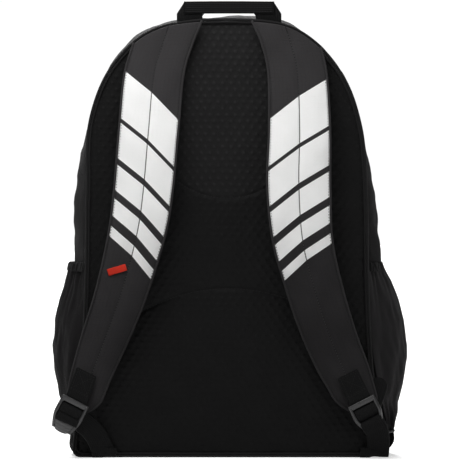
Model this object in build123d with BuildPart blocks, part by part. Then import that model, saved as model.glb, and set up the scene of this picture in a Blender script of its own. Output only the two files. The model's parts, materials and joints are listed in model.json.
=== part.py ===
from build123d import *
import os
from math import cos, radians, sin

os.makedirs("parts", exist_ok=True)

# Racket backpack. Millimetres, +Z up, back panel facing -Y, front facing +Y.
# The origin is the centre of the flat base that the pack stands on.

# ---------------------------------------------------------------- driving dimensions
BASE_THICKNESS = 3.0        # abrasion panel under the bag
OUTLINE_CENTRE_Z = 240.0    # insets shrink the outlines towards this height
OUTLINE_HALF_WIDTH = 170.0
OUTLINE_HALF_HEIGHT = 240.0
WALL = 3.0                  # fabric, foam and lining together

SEAM_Y = -95.0              # piped seam round the back panel
WIDEST_Y = -30.0            # widest section of the gusset
RIM_Y = 56.0                # front rim of the gusset
PANEL_Y = 66.0              # front face of the lower front panel

ARCH_RADIUS = 150.0         # main zip arch
ARCH_Z = 290.0              # centre of the zip arch, height of the flap's fold
FOLD_CLEARANCE = 2.0        # the flap and the zip start this far above the fold line

# Half outlines, (x, z) from the bottom corner up to the middle of the top.
SEAM_OUTLINE = [(164, 23), (158, 120), (155, 210), (154, 290), (147, 366), (122, 426), (71, 469), (0, 476)]
WIDEST_OUTLINE = [(172, 23), (168, 120), (167, 210), (165, 293), (152, 359), (126, 426), (68, 477), (0, 480)]
ARCH_POINTS = [(ARCH_RADIUS * cos(radians(a)), ARCH_Z + ARCH_RADIUS * sin(radians(a)))
               for a in (0, 22.5, 45, 67.5, 90)]
RIM_OUTLINE = [(ARCH_RADIUS, 23), (ARCH_RADIUS, 120), (ARCH_RADIUS, 210)] + ARCH_POINTS

# Back panel
PAD_DEPTH = 6.6
PAD_INSET = 3.6
UPPER_PAD_HALF_WIDTH = 88.0
UPPER_PAD_LOW_Z = 286.0
LOWER_ARCH_RADIUS = 192.0
LOWER_ARCH_TOP_Z = 186.0
CHANNEL = 4.0               # width of the sewn channels between the pads

# Shoulder straps: (z, x, width) down the strap, then the rounded tip (x, z)
STRAP_THICKNESS = 12.0
STRAP_LINING = 2.0
LEFT_STRAP = [(464, -73, 72), (421, -80, 66), (360, -86, 65), (290, -92, 64), (244, -99, 62),
              (184, -115, 57), (136, -132, 53), (93, -148, 45), (66, -156, 39)]
LEFT_TIP = (-161, 50)
RIGHT_STRAP = [(464, 72, 72), (421, 77, 64), (360, 80, 67), (300, 79, 69), (240, 83, 65),
               (190, 95, 62), (142, 110, 60), (100, 127, 57), (72, 139, 49)]
RIGHT_TIP = (147, 50)
STRAP_SIDE = [(-111, 480), (-117, 421), (-130, 334), (-138, 244), (-134, 170), (-125.5, 115),
              (-123.5, 80), (-123.5, 30)]     # (y, z) of the strap's middle layer

STRAP_LIMIT = SEAM_OUTLINE                # the straps end under the top seam
YOKE_DEPTH = 6.5                          # stub of each strap that the seam holds

# Webbing and ladder-lock buckles
WEBBING_WIDTH = 25.0
WEBBING_THICKNESS = 1.6
BUCKLE_WIDTH = 32.0
BUCKLE_LENGTH = 34.0
BUCKLE_THICKNESS = 5.0
BUCKLE_BAR_RADIUS = 2.2
BUCKLE_BAR_Y = -134.5
LEFT_BUCKLE = ((-168.0, 61.0), 20.5)      # (x, z) of the top bar and tilt in degrees
RIGHT_BUCKLE = ((148.0, 60.5), -25.5)
TAB_LENGTH = 35.0

# Grab handle
HANDLE_Y = -88.0
HANDLE_PIVOT_Z = 479.0
HANDLE_TOP_Z = 502.0
HANDLE_CENTRE_X = 2.5
HANDLE_HALF_WIDTH = 56.5
HANDLE_LEG_WIDTH = 27.0
HANDLE_BAR_HEIGHT = 13.0
HANDLE_THICKNESS = 4.0

# Side pockets: (z, outer half width) of the bulging panel
POCKET_WALL = 2.4
SIDE_POCKET = [(30, 175), (75, 187), (122, 193), (165, 187), (205, 178)]
SIDE_POCKET_BACK_Y = -90.0
SIDE_POCKET_FRONT_Y = 56.0
SIDE_POCKET_ROOT_X = 148.0
HEM_HEIGHT = 9.0

# Front pocket
FRONT_POCKET_WIDTH = 260.0
FRONT_POCKET_LOW_Z = 30.0
FRONT_POCKET_HIGH_Z = 262.0
FRONT_POCKET_DEPTH = 44.0
FRONT_POCKET_CORNER = 40.0
POCKET_ZIP_Z = 238.0
POCKET_ZIP_LENGTH = 220.0
POCKET_SLOT_HEIGHT = 10.0

# Zips
TAPE_THICKNESS = 1.4
TEETH_Y = 66.0              # middle of the main zip
TEETH_GAP = 0.2
TEETH_WIDTH = 1.7
SLIDER_RADIUS = 151.6       # underside of the main sliders, from the arch centre
SLIDER_LENGTH = 12.0
SLIDER_WIDTH = 10.0
SLIDER_HEIGHT = 4.4
PULL_LENGTH = 30.0
PULL_WIDTH = 5.0
PULL_THICKNESS = 2.4


# ---------------------------------------------------------------- helpers
def xz_plane(y):
    """Plane facing -Y at the given y: sketch x is X, sketch y is Z."""
    return Plane.XZ.offset(-y)


def draw_outline(half_points, inset=0.0):
    """Bag outline, mirrored about X = 0, with a flat foot and rounded bottom corners."""
    shrink_x = 1 - inset / OUTLINE_HALF_WIDTH
    shrink_z = 1 - inset / OUTLINE_HALF_HEIGHT
    right = [(x * shrink_x, OUTLINE_CENTRE_Z + (z - OUTLINE_CENTRE_Z) * shrink_z) for x, z in half_points]
    left = [(-x, z) for x, z in reversed(right[:-1])]
    edge_x, corner_z = right[0]
    foot_z = OUTLINE_CENTRE_Z + (BASE_THICKNESS - OUTLINE_CENTRE_Z) * shrink_z
    corner = corner_z - foot_z
    bulge = corner * (1 - cos(radians(45)))
    foot_x = edge_x - corner
    with BuildLine() as border:
        Spline(*right, *left)
        ThreePointArc((-edge_x, corner_z), (-edge_x + bulge, foot_z + bulge), (-foot_x, foot_z))
        Line((-foot_x, foot_z), (foot_x, foot_z))
        ThreePointArc((foot_x, foot_z), (edge_x - bulge, foot_z + bulge), (edge_x, corner_z))
    make_face(border.edges())


def bag_core(inset=0.0):
    """Solid of the bag between the back seam and the front rim."""
    with BuildPart() as core:
        for y, outline in ((SEAM_Y, SEAM_OUTLINE), (WIDEST_Y, WIDEST_OUTLINE), (RIM_Y, RIM_OUTLINE)):
            with BuildSketch(xz_plane(y)):
                draw_outline(outline, inset)
        loft()
    return core.part


def arch_band(inner, outer, y_low, y_high):
    """Half-ring of the main zip, between two radii and two depths."""
    with BuildPart() as band:
        with BuildSketch(xz_plane(y_low)):
            with Locations((0, ARCH_Z)):
                Circle(outer)
                Circle(inner, mode=Mode.SUBTRACT)
            with Locations((0, ARCH_Z + outer / 2 + FOLD_CLEARANCE)):
                Rectangle(2 * outer + 2, outer, mode=Mode.INTERSECT)
        extrude(amount=-(y_high - y_low))
    return band.part


def save(part, name):
    """Label a finished piece and write its STEP file."""
    part.label = name
    export_step(part, f"parts/{name}.step")


# ---------------------------------------------------------------- main shell and base
with BuildPart() as main_shell:
    add(bag_core())
    add(bag_core(WALL), mode=Mode.SUBTRACT)
save(main_shell.part, "main_shell")

with BuildPart() as base_panel:
    with BuildSketch(Plane.XY):
        with Locations((0, -16)):
            RectangleRounded(286, 146, 24)
    extrude(amount=BASE_THICKNESS)
    chamfer(base_panel.faces().sort_by(Axis.Z)[0].edges(), length=0.8)
save(base_panel.part, "base_panel")

with BuildPart() as base_board:
    with BuildSketch(Plane.XY.offset(BASE_THICKNESS + WALL + 0.4)):
        with Locations((0, -18)):
            RectangleRounded(256, 134, 14)
    extrude(amount=2.0)
save(base_board.part, "base_board")

# ---------------------------------------------------------------- front panel and flap
with BuildPart() as front_panel:
    with BuildSketch(xz_plane(RIM_Y + 0.2)):
        draw_outline(RIM_OUTLINE)
        with Locations((0, ARCH_Z / 2 - 1)):
            Rectangle(400, ARCH_Z, mode=Mode.INTERSECT)
    extrude(amount=-(PANEL_Y - RIM_Y - 0.2))
    with BuildSketch(xz_plane(RIM_Y + 0.2)):
        draw_outline(RIM_OUTLINE, WALL)
    extrude(amount=-(PANEL_Y - RIM_Y - 0.2 - WALL), mode=Mode.SUBTRACT)
save(front_panel.part, "front_panel")

FLAP_Y = TEETH_Y + 10.0     # inner face of the flap's front sheet
FLAP_SHEET = 3.0
FLAP_SWELL = 4.0            # the sheet stands this much proud in its middle
with BuildPart() as top_flap:
    for y, radius in ((FLAP_Y, ARCH_RADIUS), (FLAP_Y + FLAP_SHEET + FLAP_SWELL, ARCH_RADIUS - 26)):
        with BuildSketch(xz_plane(y)):
            with Locations((0, ARCH_Z)):
                Circle(radius)
            with Locations((0, ARCH_Z + ARCH_RADIUS / 2 + FOLD_CLEARANCE)):
                Rectangle(2 * ARCH_RADIUS + 2, ARCH_RADIUS, mode=Mode.INTERSECT)
    loft()
save(top_flap.part, "top_flap")

with BuildPart() as flap_fold:
    with BuildSketch(Plane.YZ.offset(-ARCH_RADIUS + 4)):
        with Locations((TEETH_Y + 5.1, ARCH_Z + FOLD_CLEARANCE + 1.5)):
            Rectangle(9.6, 3)
    extrude(amount=2 * ARCH_RADIUS - 8)
save(flap_fold.part, "flap_fold")

# ---------------------------------------------------------------- main zip
TAPE_INNER = ARCH_RADIUS - TAPE_THICKNESS
TEETH_INNER = ARCH_RADIUS - 2.0
TEETH_OUTER = ARCH_RADIUS + 0.9
LOW_TEETH_Y = TEETH_Y - TEETH_GAP / 2 - TEETH_WIDTH
HIGH_TEETH_Y = TEETH_Y + TEETH_GAP / 2 + TEETH_WIDTH
MAIN_ZIP = {
    "main_zip_tape_body": (TAPE_INNER, ARCH_RADIUS, RIM_Y + 0.2, LOW_TEETH_Y),
    "main_zip_teeth_body": (TEETH_INNER, TEETH_OUTER, LOW_TEETH_Y, TEETH_Y - TEETH_GAP / 2),
    "main_zip_teeth_flap": (TEETH_INNER, TEETH_OUTER, TEETH_Y + TEETH_GAP / 2, HIGH_TEETH_Y),
    "main_zip_tape_flap": (TAPE_INNER, ARCH_RADIUS, HIGH_TEETH_Y, FLAP_Y),
}
for zip_name, band_size in MAIN_ZIP.items():
    save(arch_band(*band_size), zip_name)


def zip_slider(plane, side):
    """Slider on a zip: the plane's normal points away from the zip, its x along it."""
    with BuildPart() as slider:
        with BuildSketch(plane):
            RectangleRounded(SLIDER_LENGTH, SLIDER_WIDTH, 3)
        extrude(amount=1.6)
        chamfer(slider.faces().sort_by(Axis(plane.origin, plane.z_dir))[-1].edges(), length=0.4)
        with BuildSketch(plane.offset(1.6)):
            SlotOverall(SLIDER_LENGTH - 2, 3.2)
        extrude(amount=SLIDER_HEIGHT - 1.6)
        hole = Plane(plane.origin + plane.z_dir * 2.9 - plane.y_dir * 4, x_dir=plane.x_dir, z_dir=plane.y_dir)
        with BuildSketch(hole):
            with Locations((side * SLIDER_LENGTH * 0.22, 0)):
                Circle(0.9)
        extrude(amount=8, mode=Mode.SUBTRACT)
    return slider.part


def zip_pull(plane, side):
    """Moulded pull: a flat tapered tongue with a yoke, lying along the plane's x."""
    with BuildPart() as pull:
        with BuildSketch(plane):
            with BuildLine():
                Polyline((0, 1.5), (side * 8, 2.1), (side * PULL_LENGTH, PULL_WIDTH / 2),
                         (side * PULL_LENGTH, -PULL_WIDTH / 2), (side * 8, -2.1), (0, -1.5), (0, 1.5))
            make_face()
            fillet(vertices().group_by(Axis.X)[0 if side < 0 else -1], radius=2)
        extrude(amount=PULL_THICKNESS)
    return pull.part


SLIDER_OFFSET = SLIDER_LENGTH / 2 + 1
PULL_RADIUS = SLIDER_RADIUS + 2.2
PULL_ROOT = SLIDER_LENGTH / 2 + 0.3
for side, name in ((-1, "left"), (1, "right")):
    lean = side * SLIDER_OFFSET / ARCH_RADIUS
    outward = Vector(sin(lean), 0, cos(lean))
    along = Vector(cos(lean), 0, -sin(lean))
    seat = Vector(0, TEETH_Y, ARCH_Z)
    slider_plane = Plane(seat + outward * SLIDER_RADIUS, x_dir=along, z_dir=outward)
    save(zip_slider(slider_plane, side), f"main_slider_{name}")
    pull_plane = Plane(seat + outward * PULL_RADIUS + along * (side * PULL_ROOT), x_dir=along, z_dir=outward)
    save(zip_pull(pull_plane, side), f"main_pull_{name}")

# Bar tacks that close both ends of the main zip.
with BuildPart() as main_zip_stops:
    with BuildSketch(Plane.XY.offset(ARCH_Z - 6)):
        for side in (-1, 1):
            with Locations((side * (ARCH_RADIUS + 2.4), TEETH_Y - 4.5)):
                Rectangle(2.0, 8)
    extrude(amount=5)
save(main_zip_stops.part, "main_zip_stops")

# ---------------------------------------------------------------- front pocket
POCKET_MID_Z = (FRONT_POCKET_LOW_Z + FRONT_POCKET_HIGH_Z) / 2
POCKET_HEIGHT = FRONT_POCKET_HIGH_Z - FRONT_POCKET_LOW_Z
POCKET_FRONT_Y = PANEL_Y + FRONT_POCKET_DEPTH
with BuildPart() as front_pocket:
    with BuildSketch(xz_plane(PANEL_Y + 0.1)):
        with Locations((0, POCKET_MID_Z)):
            RectangleRounded(FRONT_POCKET_WIDTH, POCKET_HEIGHT, FRONT_POCKET_CORNER)
    extrude(amount=-(FRONT_POCKET_DEPTH - 0.1))
    fillet(front_pocket.faces().sort_by(Axis.Y)[-1].edges(), radius=14)
    with BuildSketch(xz_plane(PANEL_Y)):
        with Locations((0, POCKET_MID_Z)):
            RectangleRounded(FRONT_POCKET_WIDTH - 2 * POCKET_WALL, POCKET_HEIGHT - 2 * POCKET_WALL,
                             FRONT_POCKET_CORNER - POCKET_WALL)
    extrude(amount=-(FRONT_POCKET_DEPTH - POCKET_WALL - 9), mode=Mode.SUBTRACT)
    with BuildSketch(xz_plane(PANEL_Y)):
        with Locations((0, POCKET_MID_Z)):
            RectangleRounded(FRONT_POCKET_WIDTH - 28, POCKET_HEIGHT - 28, 12)
    extrude(amount=-(FRONT_POCKET_DEPTH - POCKET_WALL), mode=Mode.SUBTRACT)
    with BuildSketch(xz_plane(PANEL_Y)):
        with Locations((0, POCKET_ZIP_Z)):
            Rectangle(POCKET_ZIP_LENGTH, POCKET_SLOT_HEIGHT)
    extrude(amount=-(FRONT_POCKET_DEPTH + 5), mode=Mode.SUBTRACT)
save(front_pocket.part, "front_pocket")

POCKET_TAPE_Y = POCKET_FRONT_Y - POCKET_WALL - 0.2
with BuildPart() as pocket_zip_tape:
    with BuildSketch(xz_plane(POCKET_TAPE_Y)):
        with Locations((0, POCKET_ZIP_Z - 5.4), (0, POCKET_ZIP_Z + 5.4)):
            Rectangle(POCKET_ZIP_LENGTH - 2, 6.0)
    extrude(amount=0.8)
save(pocket_zip_tape.part, "pocket_zip_tape")

with BuildPart() as pocket_zip_teeth:
    with BuildSketch(xz_plane(POCKET_TAPE_Y + 2.0)):
        with Locations((0, POCKET_ZIP_Z - 1.05), (0, POCKET_ZIP_Z + 1.05)):
            Rectangle(POCKET_ZIP_LENGTH - 1, TEETH_WIDTH)
    extrude(amount=3.0)
save(pocket_zip_teeth.part, "pocket_zip_teeth")

POCKET_SLIDER_X = -(POCKET_ZIP_LENGTH / 2 - SLIDER_LENGTH)
POCKET_SLIDER_Y = POCKET_FRONT_Y + 0.3
pocket_slider_plane = Plane((POCKET_SLIDER_X, POCKET_SLIDER_Y, POCKET_ZIP_Z), x_dir=(1, 0, 0), z_dir=(0, 1, 0))
save(zip_slider(pocket_slider_plane, 1), "pocket_slider")
POCKET_PULL_Y = POCKET_SLIDER_Y + SLIDER_HEIGHT + 0.6
pocket_pull_plane = Plane((POCKET_SLIDER_X + 1.5, POCKET_PULL_Y, POCKET_ZIP_Z), x_dir=(0, 0, 1), z_dir=(0, 1, 0))
save(zip_pull(pocket_pull_plane, -1), "pocket_pull")


# ---------------------------------------------------------------- side pockets
def pocket_solid(side, sections, wall):
    """Stack of D-shaped plan sections, from the bottom of a side pocket to its hem."""
    with BuildPart() as bulge:
        for z, half_width in sections:
            mid_y = (SIDE_POCKET_BACK_Y + SIDE_POCKET_FRONT_Y) / 2
            with BuildSketch(Plane.XY.offset(z)):
                with BuildLine():
                    ThreePointArc((side * SIDE_POCKET_ROOT_X, SIDE_POCKET_BACK_Y + wall),
                                  (side * (half_width - wall), mid_y),
                                  (side * SIDE_POCKET_ROOT_X, SIDE_POCKET_FRONT_Y - wall))
                    Line((side * SIDE_POCKET_ROOT_X, SIDE_POCKET_FRONT_Y - wall),
                         (side * SIDE_POCKET_ROOT_X, SIDE_POCKET_BACK_Y + wall))
                make_face()
        loft()
    return bulge.part


bag_clearance = bag_core(-0.3)
HEM_Z = SIDE_POCKET[-1][0]
HEM_HALF_WIDTH = SIDE_POCKET[-1][1]
for side, name in ((-1, "left"), (1, "right")):
    interior = [(SIDE_POCKET[0][0] + 3, SIDE_POCKET[0][1] + 3)] + SIDE_POCKET[1:]
    with BuildPart() as side_pocket:
        add(pocket_solid(side, SIDE_POCKET, 0))
        add(pocket_solid(side, interior, POCKET_WALL), mode=Mode.SUBTRACT)
        add(bag_clearance, mode=Mode.SUBTRACT)
    save(side_pocket.part, f"side_pocket_{name}")

    hem_sections = [(HEM_Z + 0.1, HEM_HALF_WIDTH + 0.6), (HEM_Z + HEM_HEIGHT, HEM_HALF_WIDTH - 0.6)]
    with BuildPart() as pocket_hem:
        add(pocket_solid(side, hem_sections, 0))
        add(pocket_solid(side, hem_sections, POCKET_WALL + 0.6), mode=Mode.SUBTRACT)
        add(bag_clearance, mode=Mode.SUBTRACT)
    save(pocket_hem.part, f"pocket_hem_{name}")

# ---------------------------------------------------------------- back panel
PIPING_OUT = 2.5
with BuildPart() as back_piping:
    with BuildSketch(xz_plane(SEAM_Y - 0.2)):
        draw_outline(SEAM_OUTLINE, -PIPING_OUT)
    extrude(amount=PAD_DEPTH)
    with BuildSketch(xz_plane(SEAM_Y - 0.2)):
        draw_outline(SEAM_OUTLINE, WALL)
    extrude(amount=PAD_DEPTH, mode=Mode.SUBTRACT)
    with BuildSketch(xz_plane(SEAM_Y)):
        with Locations((0, BASE_THICKNESS / 2)):
            Rectangle(400, BASE_THICKNESS)
    extrude(amount=20, mode=Mode.SUBTRACT)
save(back_piping.part, "back_piping")

with BuildPart() as back_carrier:
    with BuildSketch(xz_plane(SEAM_Y + 2.6)):
        draw_outline(SEAM_OUTLINE, WALL + 0.4)
    extrude(amount=2.4)
save(back_carrier.part, "back_carrier")

with BuildPart() as frame_sheet:
    with BuildSketch(xz_plane(SEAM_Y + 4.6)):
        draw_outline(SEAM_OUTLINE, 12)
    extrude(amount=1.6)
save(frame_sheet.part, "frame_sheet")

UPPER_PAD_Z = UPPER_PAD_LOW_Z + UPPER_PAD_HALF_WIDTH
LOWER_ARCH_Z = LOWER_ARCH_TOP_Z - LOWER_ARCH_RADIUS
PAD_Y = SEAM_Y - 0.3


def draw_upper_pad(grow, mode):
    """Round-bottomed centre pad, grown by a margin, added to or cut from the sketch."""
    half_width = UPPER_PAD_HALF_WIDTH + grow
    with Locations((0, UPPER_PAD_Z + 100)):
        Rectangle(2 * half_width, 200, mode=mode)
    with Locations((0, UPPER_PAD_Z)):
        Circle(half_width, mode=mode)


with BuildPart() as back_pad_upper:
    with BuildSketch(xz_plane(PAD_Y)):
        draw_upper_pad(0, Mode.ADD)
    extrude(amount=PAD_DEPTH)
    with BuildSketch(xz_plane(PAD_Y)):
        draw_outline(SEAM_OUTLINE, PAD_INSET)
    extrude(amount=PAD_DEPTH, mode=Mode.INTERSECT)
save(back_pad_upper.part, "back_pad_upper")

with BuildPart() as back_pad_middle:
    with BuildSketch(xz_plane(PAD_Y)):
        draw_outline(SEAM_OUTLINE, PAD_INSET)
        draw_upper_pad(CHANNEL, Mode.SUBTRACT)
        with Locations((0, LOWER_ARCH_Z)):
            Circle(LOWER_ARCH_RADIUS + CHANNEL, mode=Mode.SUBTRACT)
    extrude(amount=PAD_DEPTH)
save(back_pad_middle.part, "back_pad_middle")

with BuildPart() as back_pad_lower:
    with BuildSketch(xz_plane(PAD_Y)):
        draw_outline(SEAM_OUTLINE, PAD_INSET)
        with Locations((0, LOWER_ARCH_Z)):
            Circle(LOWER_ARCH_RADIUS, mode=Mode.INTERSECT)
    extrude(amount=PAD_DEPTH)
save(back_pad_lower.part, "back_pad_lower")

COVER_THICKNESS = 1.0
COVER_FACE_Y = PAD_Y - PAD_DEPTH - 0.1 - COVER_THICKNESS
with BuildPart() as back_mesh_cover:
    with BuildSketch(xz_plane(COVER_FACE_Y + COVER_THICKNESS)):
        draw_outline(SEAM_OUTLINE, PAD_INSET)
    extrude(amount=COVER_THICKNESS)
save(back_mesh_cover.part, "back_mesh_cover")

# ---------------------------------------------------------------- racket sleeve
DIVIDER_Y = -50.0
DIVIDER_TOP_Z = 330.0
DIVIDER_LOW_Z = 12.0
with BuildPart() as racket_divider:
    with BuildSketch(xz_plane(DIVIDER_Y)):
        draw_outline(WIDEST_OUTLINE, 12)
        with Locations((0, (DIVIDER_TOP_Z + DIVIDER_LOW_Z) / 2)):
            Rectangle(400, DIVIDER_TOP_Z - DIVIDER_LOW_Z, mode=Mode.INTERSECT)
    extrude(amount=4.0)
save(racket_divider.part, "racket_divider")

with BuildPart() as divider_binding:
    with BuildSketch(Plane.YZ.offset(-148)):
        with Locations((DIVIDER_Y - 2, DIVIDER_TOP_Z + 1.3)):
            RectangleRounded(6.4, 2.4, 1.0)
    extrude(amount=296)
save(divider_binding.part, "divider_binding")

# ---------------------------------------------------------------- grab handle
LEG_INNER_X = HANDLE_HALF_WIDTH - HANDLE_LEG_WIDTH
with BuildPart() as grab_handle:
    with BuildSketch(xz_plane(HANDLE_Y + HANDLE_THICKNESS / 2)):
        with BuildLine():
            Polyline((HANDLE_CENTRE_X - HANDLE_HALF_WIDTH, HANDLE_PIVOT_Z + 1.5),
                     (HANDLE_CENTRE_X - HANDLE_HALF_WIDTH, HANDLE_TOP_Z - 14),
                     (HANDLE_CENTRE_X - HANDLE_HALF_WIDTH + 9, HANDLE_TOP_Z),
                     (HANDLE_CENTRE_X + HANDLE_HALF_WIDTH - 9, HANDLE_TOP_Z),
                     (HANDLE_CENTRE_X + HANDLE_HALF_WIDTH, HANDLE_TOP_Z - 14),
                     (HANDLE_CENTRE_X + HANDLE_HALF_WIDTH, HANDLE_PIVOT_Z + 1.5),
                     (HANDLE_CENTRE_X + LEG_INNER_X, HANDLE_PIVOT_Z + 1.5),
                     (HANDLE_CENTRE_X + LEG_INNER_X, HANDLE_TOP_Z - HANDLE_BAR_HEIGHT),
                     (HANDLE_CENTRE_X - LEG_INNER_X, HANDLE_TOP_Z - HANDLE_BAR_HEIGHT),
                     (HANDLE_CENTRE_X - LEG_INNER_X, HANDLE_PIVOT_Z + 1.5), close=True)
        make_face()
    extrude(amount=HANDLE_THICKNESS)
save(grab_handle.part, "grab_handle")

# The handle's ends are sewn inside the bag, in front of the frame sheet's top.
ANCHOR_Z = 461.0
ANCHOR_HEIGHT = 18.0
LEG_CENTRE = HANDLE_HALF_WIDTH - HANDLE_LEG_WIDTH / 2
with BuildPart() as handle_anchors:
    with BuildSketch(xz_plane(HANDLE_Y + 0.6)):
        with Locations((HANDLE_CENTRE_X - LEG_CENTRE, ANCHOR_Z), (HANDLE_CENTRE_X + LEG_CENTRE, ANCHOR_Z)):
            Rectangle(WEBBING_WIDTH, ANCHOR_HEIGHT)
    extrude(amount=WEBBING_THICKNESS)
save(handle_anchors.part, "handle_anchors")


# ---------------------------------------------------------------- shoulder straps
def draw_strap(stations, tip):
    """Strap seen from behind: two curved edges and a rounded lower end."""
    left_edge = [(x - width / 2, z) for z, x, width in stations]
    right_edge = [(x + width / 2, z) for z, x, width in stations]
    with BuildLine() as border:
        Spline(*left_edge)
        ThreePointArc(left_edge[-1], tip, right_edge[-1])
        Spline(*reversed(right_edge))
        Line(right_edge[0], left_edge[0])
    make_face(border.edges())


def draw_strap_side(near, far):
    """Strap seen from the side, between two offsets from its middle layer."""
    near_edge = [(y + near, z) for y, z in STRAP_SIDE]
    far_edge = [(y + far, z) for y, z in STRAP_SIDE]
    with BuildLine() as border:
        Spline(*near_edge)
        Line(near_edge[-1], far_edge[-1])
        Spline(*reversed(far_edge))
        Line(far_edge[0], near_edge[0])
    make_face(border.edges())


def strap_layer(stations, tip, near, far):
    """One layer of a strap: the outline seen from behind cut by the side profile."""
    with BuildPart() as layer:
        with BuildSketch(xz_plane(-90)):
            draw_strap(stations, tip)
        extrude(amount=80)
        with BuildSketch(xz_plane(-90)):
            draw_outline(STRAP_LIMIT, YOKE_DEPTH + 2)
        extrude(amount=80, mode=Mode.INTERSECT)
        with BuildSketch(Plane.YZ.offset(-250)):
            draw_strap_side(near, far)
        extrude(amount=500, mode=Mode.INTERSECT)
    return layer.part


def buckle_plane(side_data, y):
    """Sketch plane of a buckle: x along its top bar, y up the strap, origin on the bar."""
    (x, z), tilt = side_data
    return Plane((x, y, z), x_dir=(cos(radians(tilt)), 0, -sin(radians(tilt))), z_dir=(0, -1, 0))


STRAPS = {"left": (LEFT_STRAP, LEFT_TIP, LEFT_BUCKLE), "right": (RIGHT_STRAP, RIGHT_TIP, RIGHT_BUCKLE)}
HALF_STRAP = STRAP_THICKNESS / 2
LOOP_OUTER = BUCKLE_BAR_RADIUS + 0.4 + WEBBING_THICKNESS
for name, (stations, tip, buckle) in STRAPS.items():
    save(strap_layer(stations, tip, -HALF_STRAP, HALF_STRAP - STRAP_LINING - 0.1), f"strap_pad_{name}")
    save(strap_layer(stations, tip, HALF_STRAP - STRAP_LINING, HALF_STRAP), f"strap_lining_{name}")

    # Webbing tab, sewn on the strap and looped round the buckle's top bar.
    bar = buckle_plane(buckle, BUCKLE_BAR_Y)
    across = Plane(bar.origin - bar.x_dir * (WEBBING_WIDTH / 2), x_dir=bar.y_dir, z_dir=bar.x_dir)
    with BuildPart() as strap_tab:
        with BuildSketch(across):
            Circle(LOOP_OUTER)
            with Locations((TAB_LENGTH / 2, WEBBING_THICKNESS - LOOP_OUTER)):
                Rectangle(TAB_LENGTH, 2 * WEBBING_THICKNESS)
            Circle(LOOP_OUTER - WEBBING_THICKNESS, mode=Mode.SUBTRACT)
        extrude(amount=WEBBING_WIDTH)
    save(strap_tab.part, f"strap_tab_{name}")

    # Ladder-lock buckle: top bar, two rails, middle bar and a broad lower grip.
    front = buckle_plane(buckle, BUCKLE_BAR_Y + BUCKLE_THICKNESS / 2)
    with BuildPart() as ladder_lock:
        with BuildSketch(front):
            with Locations((0, BUCKLE_BAR_RADIUS - BUCKLE_LENGTH / 2)):
                RectangleRounded(BUCKLE_WIDTH, BUCKLE_LENGTH, 4)
            with Locations((0, -5.9)):
                Rectangle(WEBBING_WIDTH + 1.4, 7.4, mode=Mode.SUBTRACT)
            with Locations((0, -18.0)):
                Rectangle(WEBBING_WIDTH + 1.4, 7.0, mode=Mode.SUBTRACT)
            with Locations((0, 0)):
                Rectangle(WEBBING_WIDTH + 1.4, 2 * BUCKLE_BAR_RADIUS + 4, mode=Mode.SUBTRACT)
        extrude(amount=BUCKLE_THICKNESS)
        with BuildSketch(Plane(bar.origin - bar.x_dir * (WEBBING_WIDTH / 2 + 1), z_dir=bar.x_dir)):
            Circle(BUCKLE_BAR_RADIUS)
        extrude(amount=WEBBING_WIDTH + 2)
    save(ladder_lock.part, f"ladder_lock_{name}")

    # Free tail of the adjusting webbing, over the middle bar and down in front.
    with BuildPart() as webbing_tail:
        with BuildSketch(across):
            with Locations((-24, BUCKLE_THICKNESS / 2 + 1.0)):
                Rectangle(24, WEBBING_THICKNESS)
        extrude(amount=WEBBING_WIDTH)
    save(webbing_tail.part, f"webbing_tail_{name}")

# ---------------------------------------------------------------- top yokes, lower webbing and its anchors
YOKE_X = {"left": -72.5, "right": 72.0}
for name, x in YOKE_X.items():
    with BuildPart() as strap_yoke:
        with BuildSketch(xz_plane(COVER_FACE_Y - 0.4)):
            draw_outline(STRAP_LIMIT, -1)
        extrude(amount=10)
        with BuildSketch(xz_plane(COVER_FACE_Y)):
            draw_outline(STRAP_LIMIT, YOKE_DEPTH)
        extrude(amount=20, mode=Mode.SUBTRACT)
        with BuildSketch(xz_plane(COVER_FACE_Y)):
            with Locations((x, 450)):
                Rectangle(72, 60)
        extrude(amount=20, mode=Mode.INTERSECT)
    save(strap_yoke.part, f"strap_yoke_{name}")

# Lower webbing: start on the bottom seam and loose end below the buckle, both (x, y, z).
LOWER_WEBBING = {"left": ((-146, -107, 8), (-156, -112, 27)), "right": ((157, -107, 8), (160, -112, 27))}
for name, (start, end) in LOWER_WEBBING.items():
    run = Vector(*end) - Vector(*start)
    lean = run.normalized()
    across = Vector(1, 0, 0) - lean * lean.X
    strip = Plane(start, x_dir=across, z_dir=lean)
    with BuildPart() as lower_webbing:
        with BuildSketch(strip):
            Rectangle(WEBBING_WIDTH, WEBBING_THICKNESS)
        extrude(amount=run.length)
    save(lower_webbing.part, f"lower_webbing_{name}")

    with BuildPart() as webbing_anchor:
        with BuildSketch(xz_plane(COVER_FACE_Y - 0.2)):
            with Locations((start[0], 12)):
                RectangleRounded(30, 14, 3)
        extrude(amount=WEBBING_THICKNESS)
    save(webbing_anchor.part, f"webbing_anchor_{name}")

# Small stitched tab across the lower part of the left strap.
with BuildPart() as accent_tab:
    with BuildSketch(xz_plane(-145.2)):
        with Locations((-115, 208)):
            RectangleRounded(20, 8, 2)
    extrude(amount=1.4)
save(accent_tab.part, "accent_tab")
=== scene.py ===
import json
import math

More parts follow.
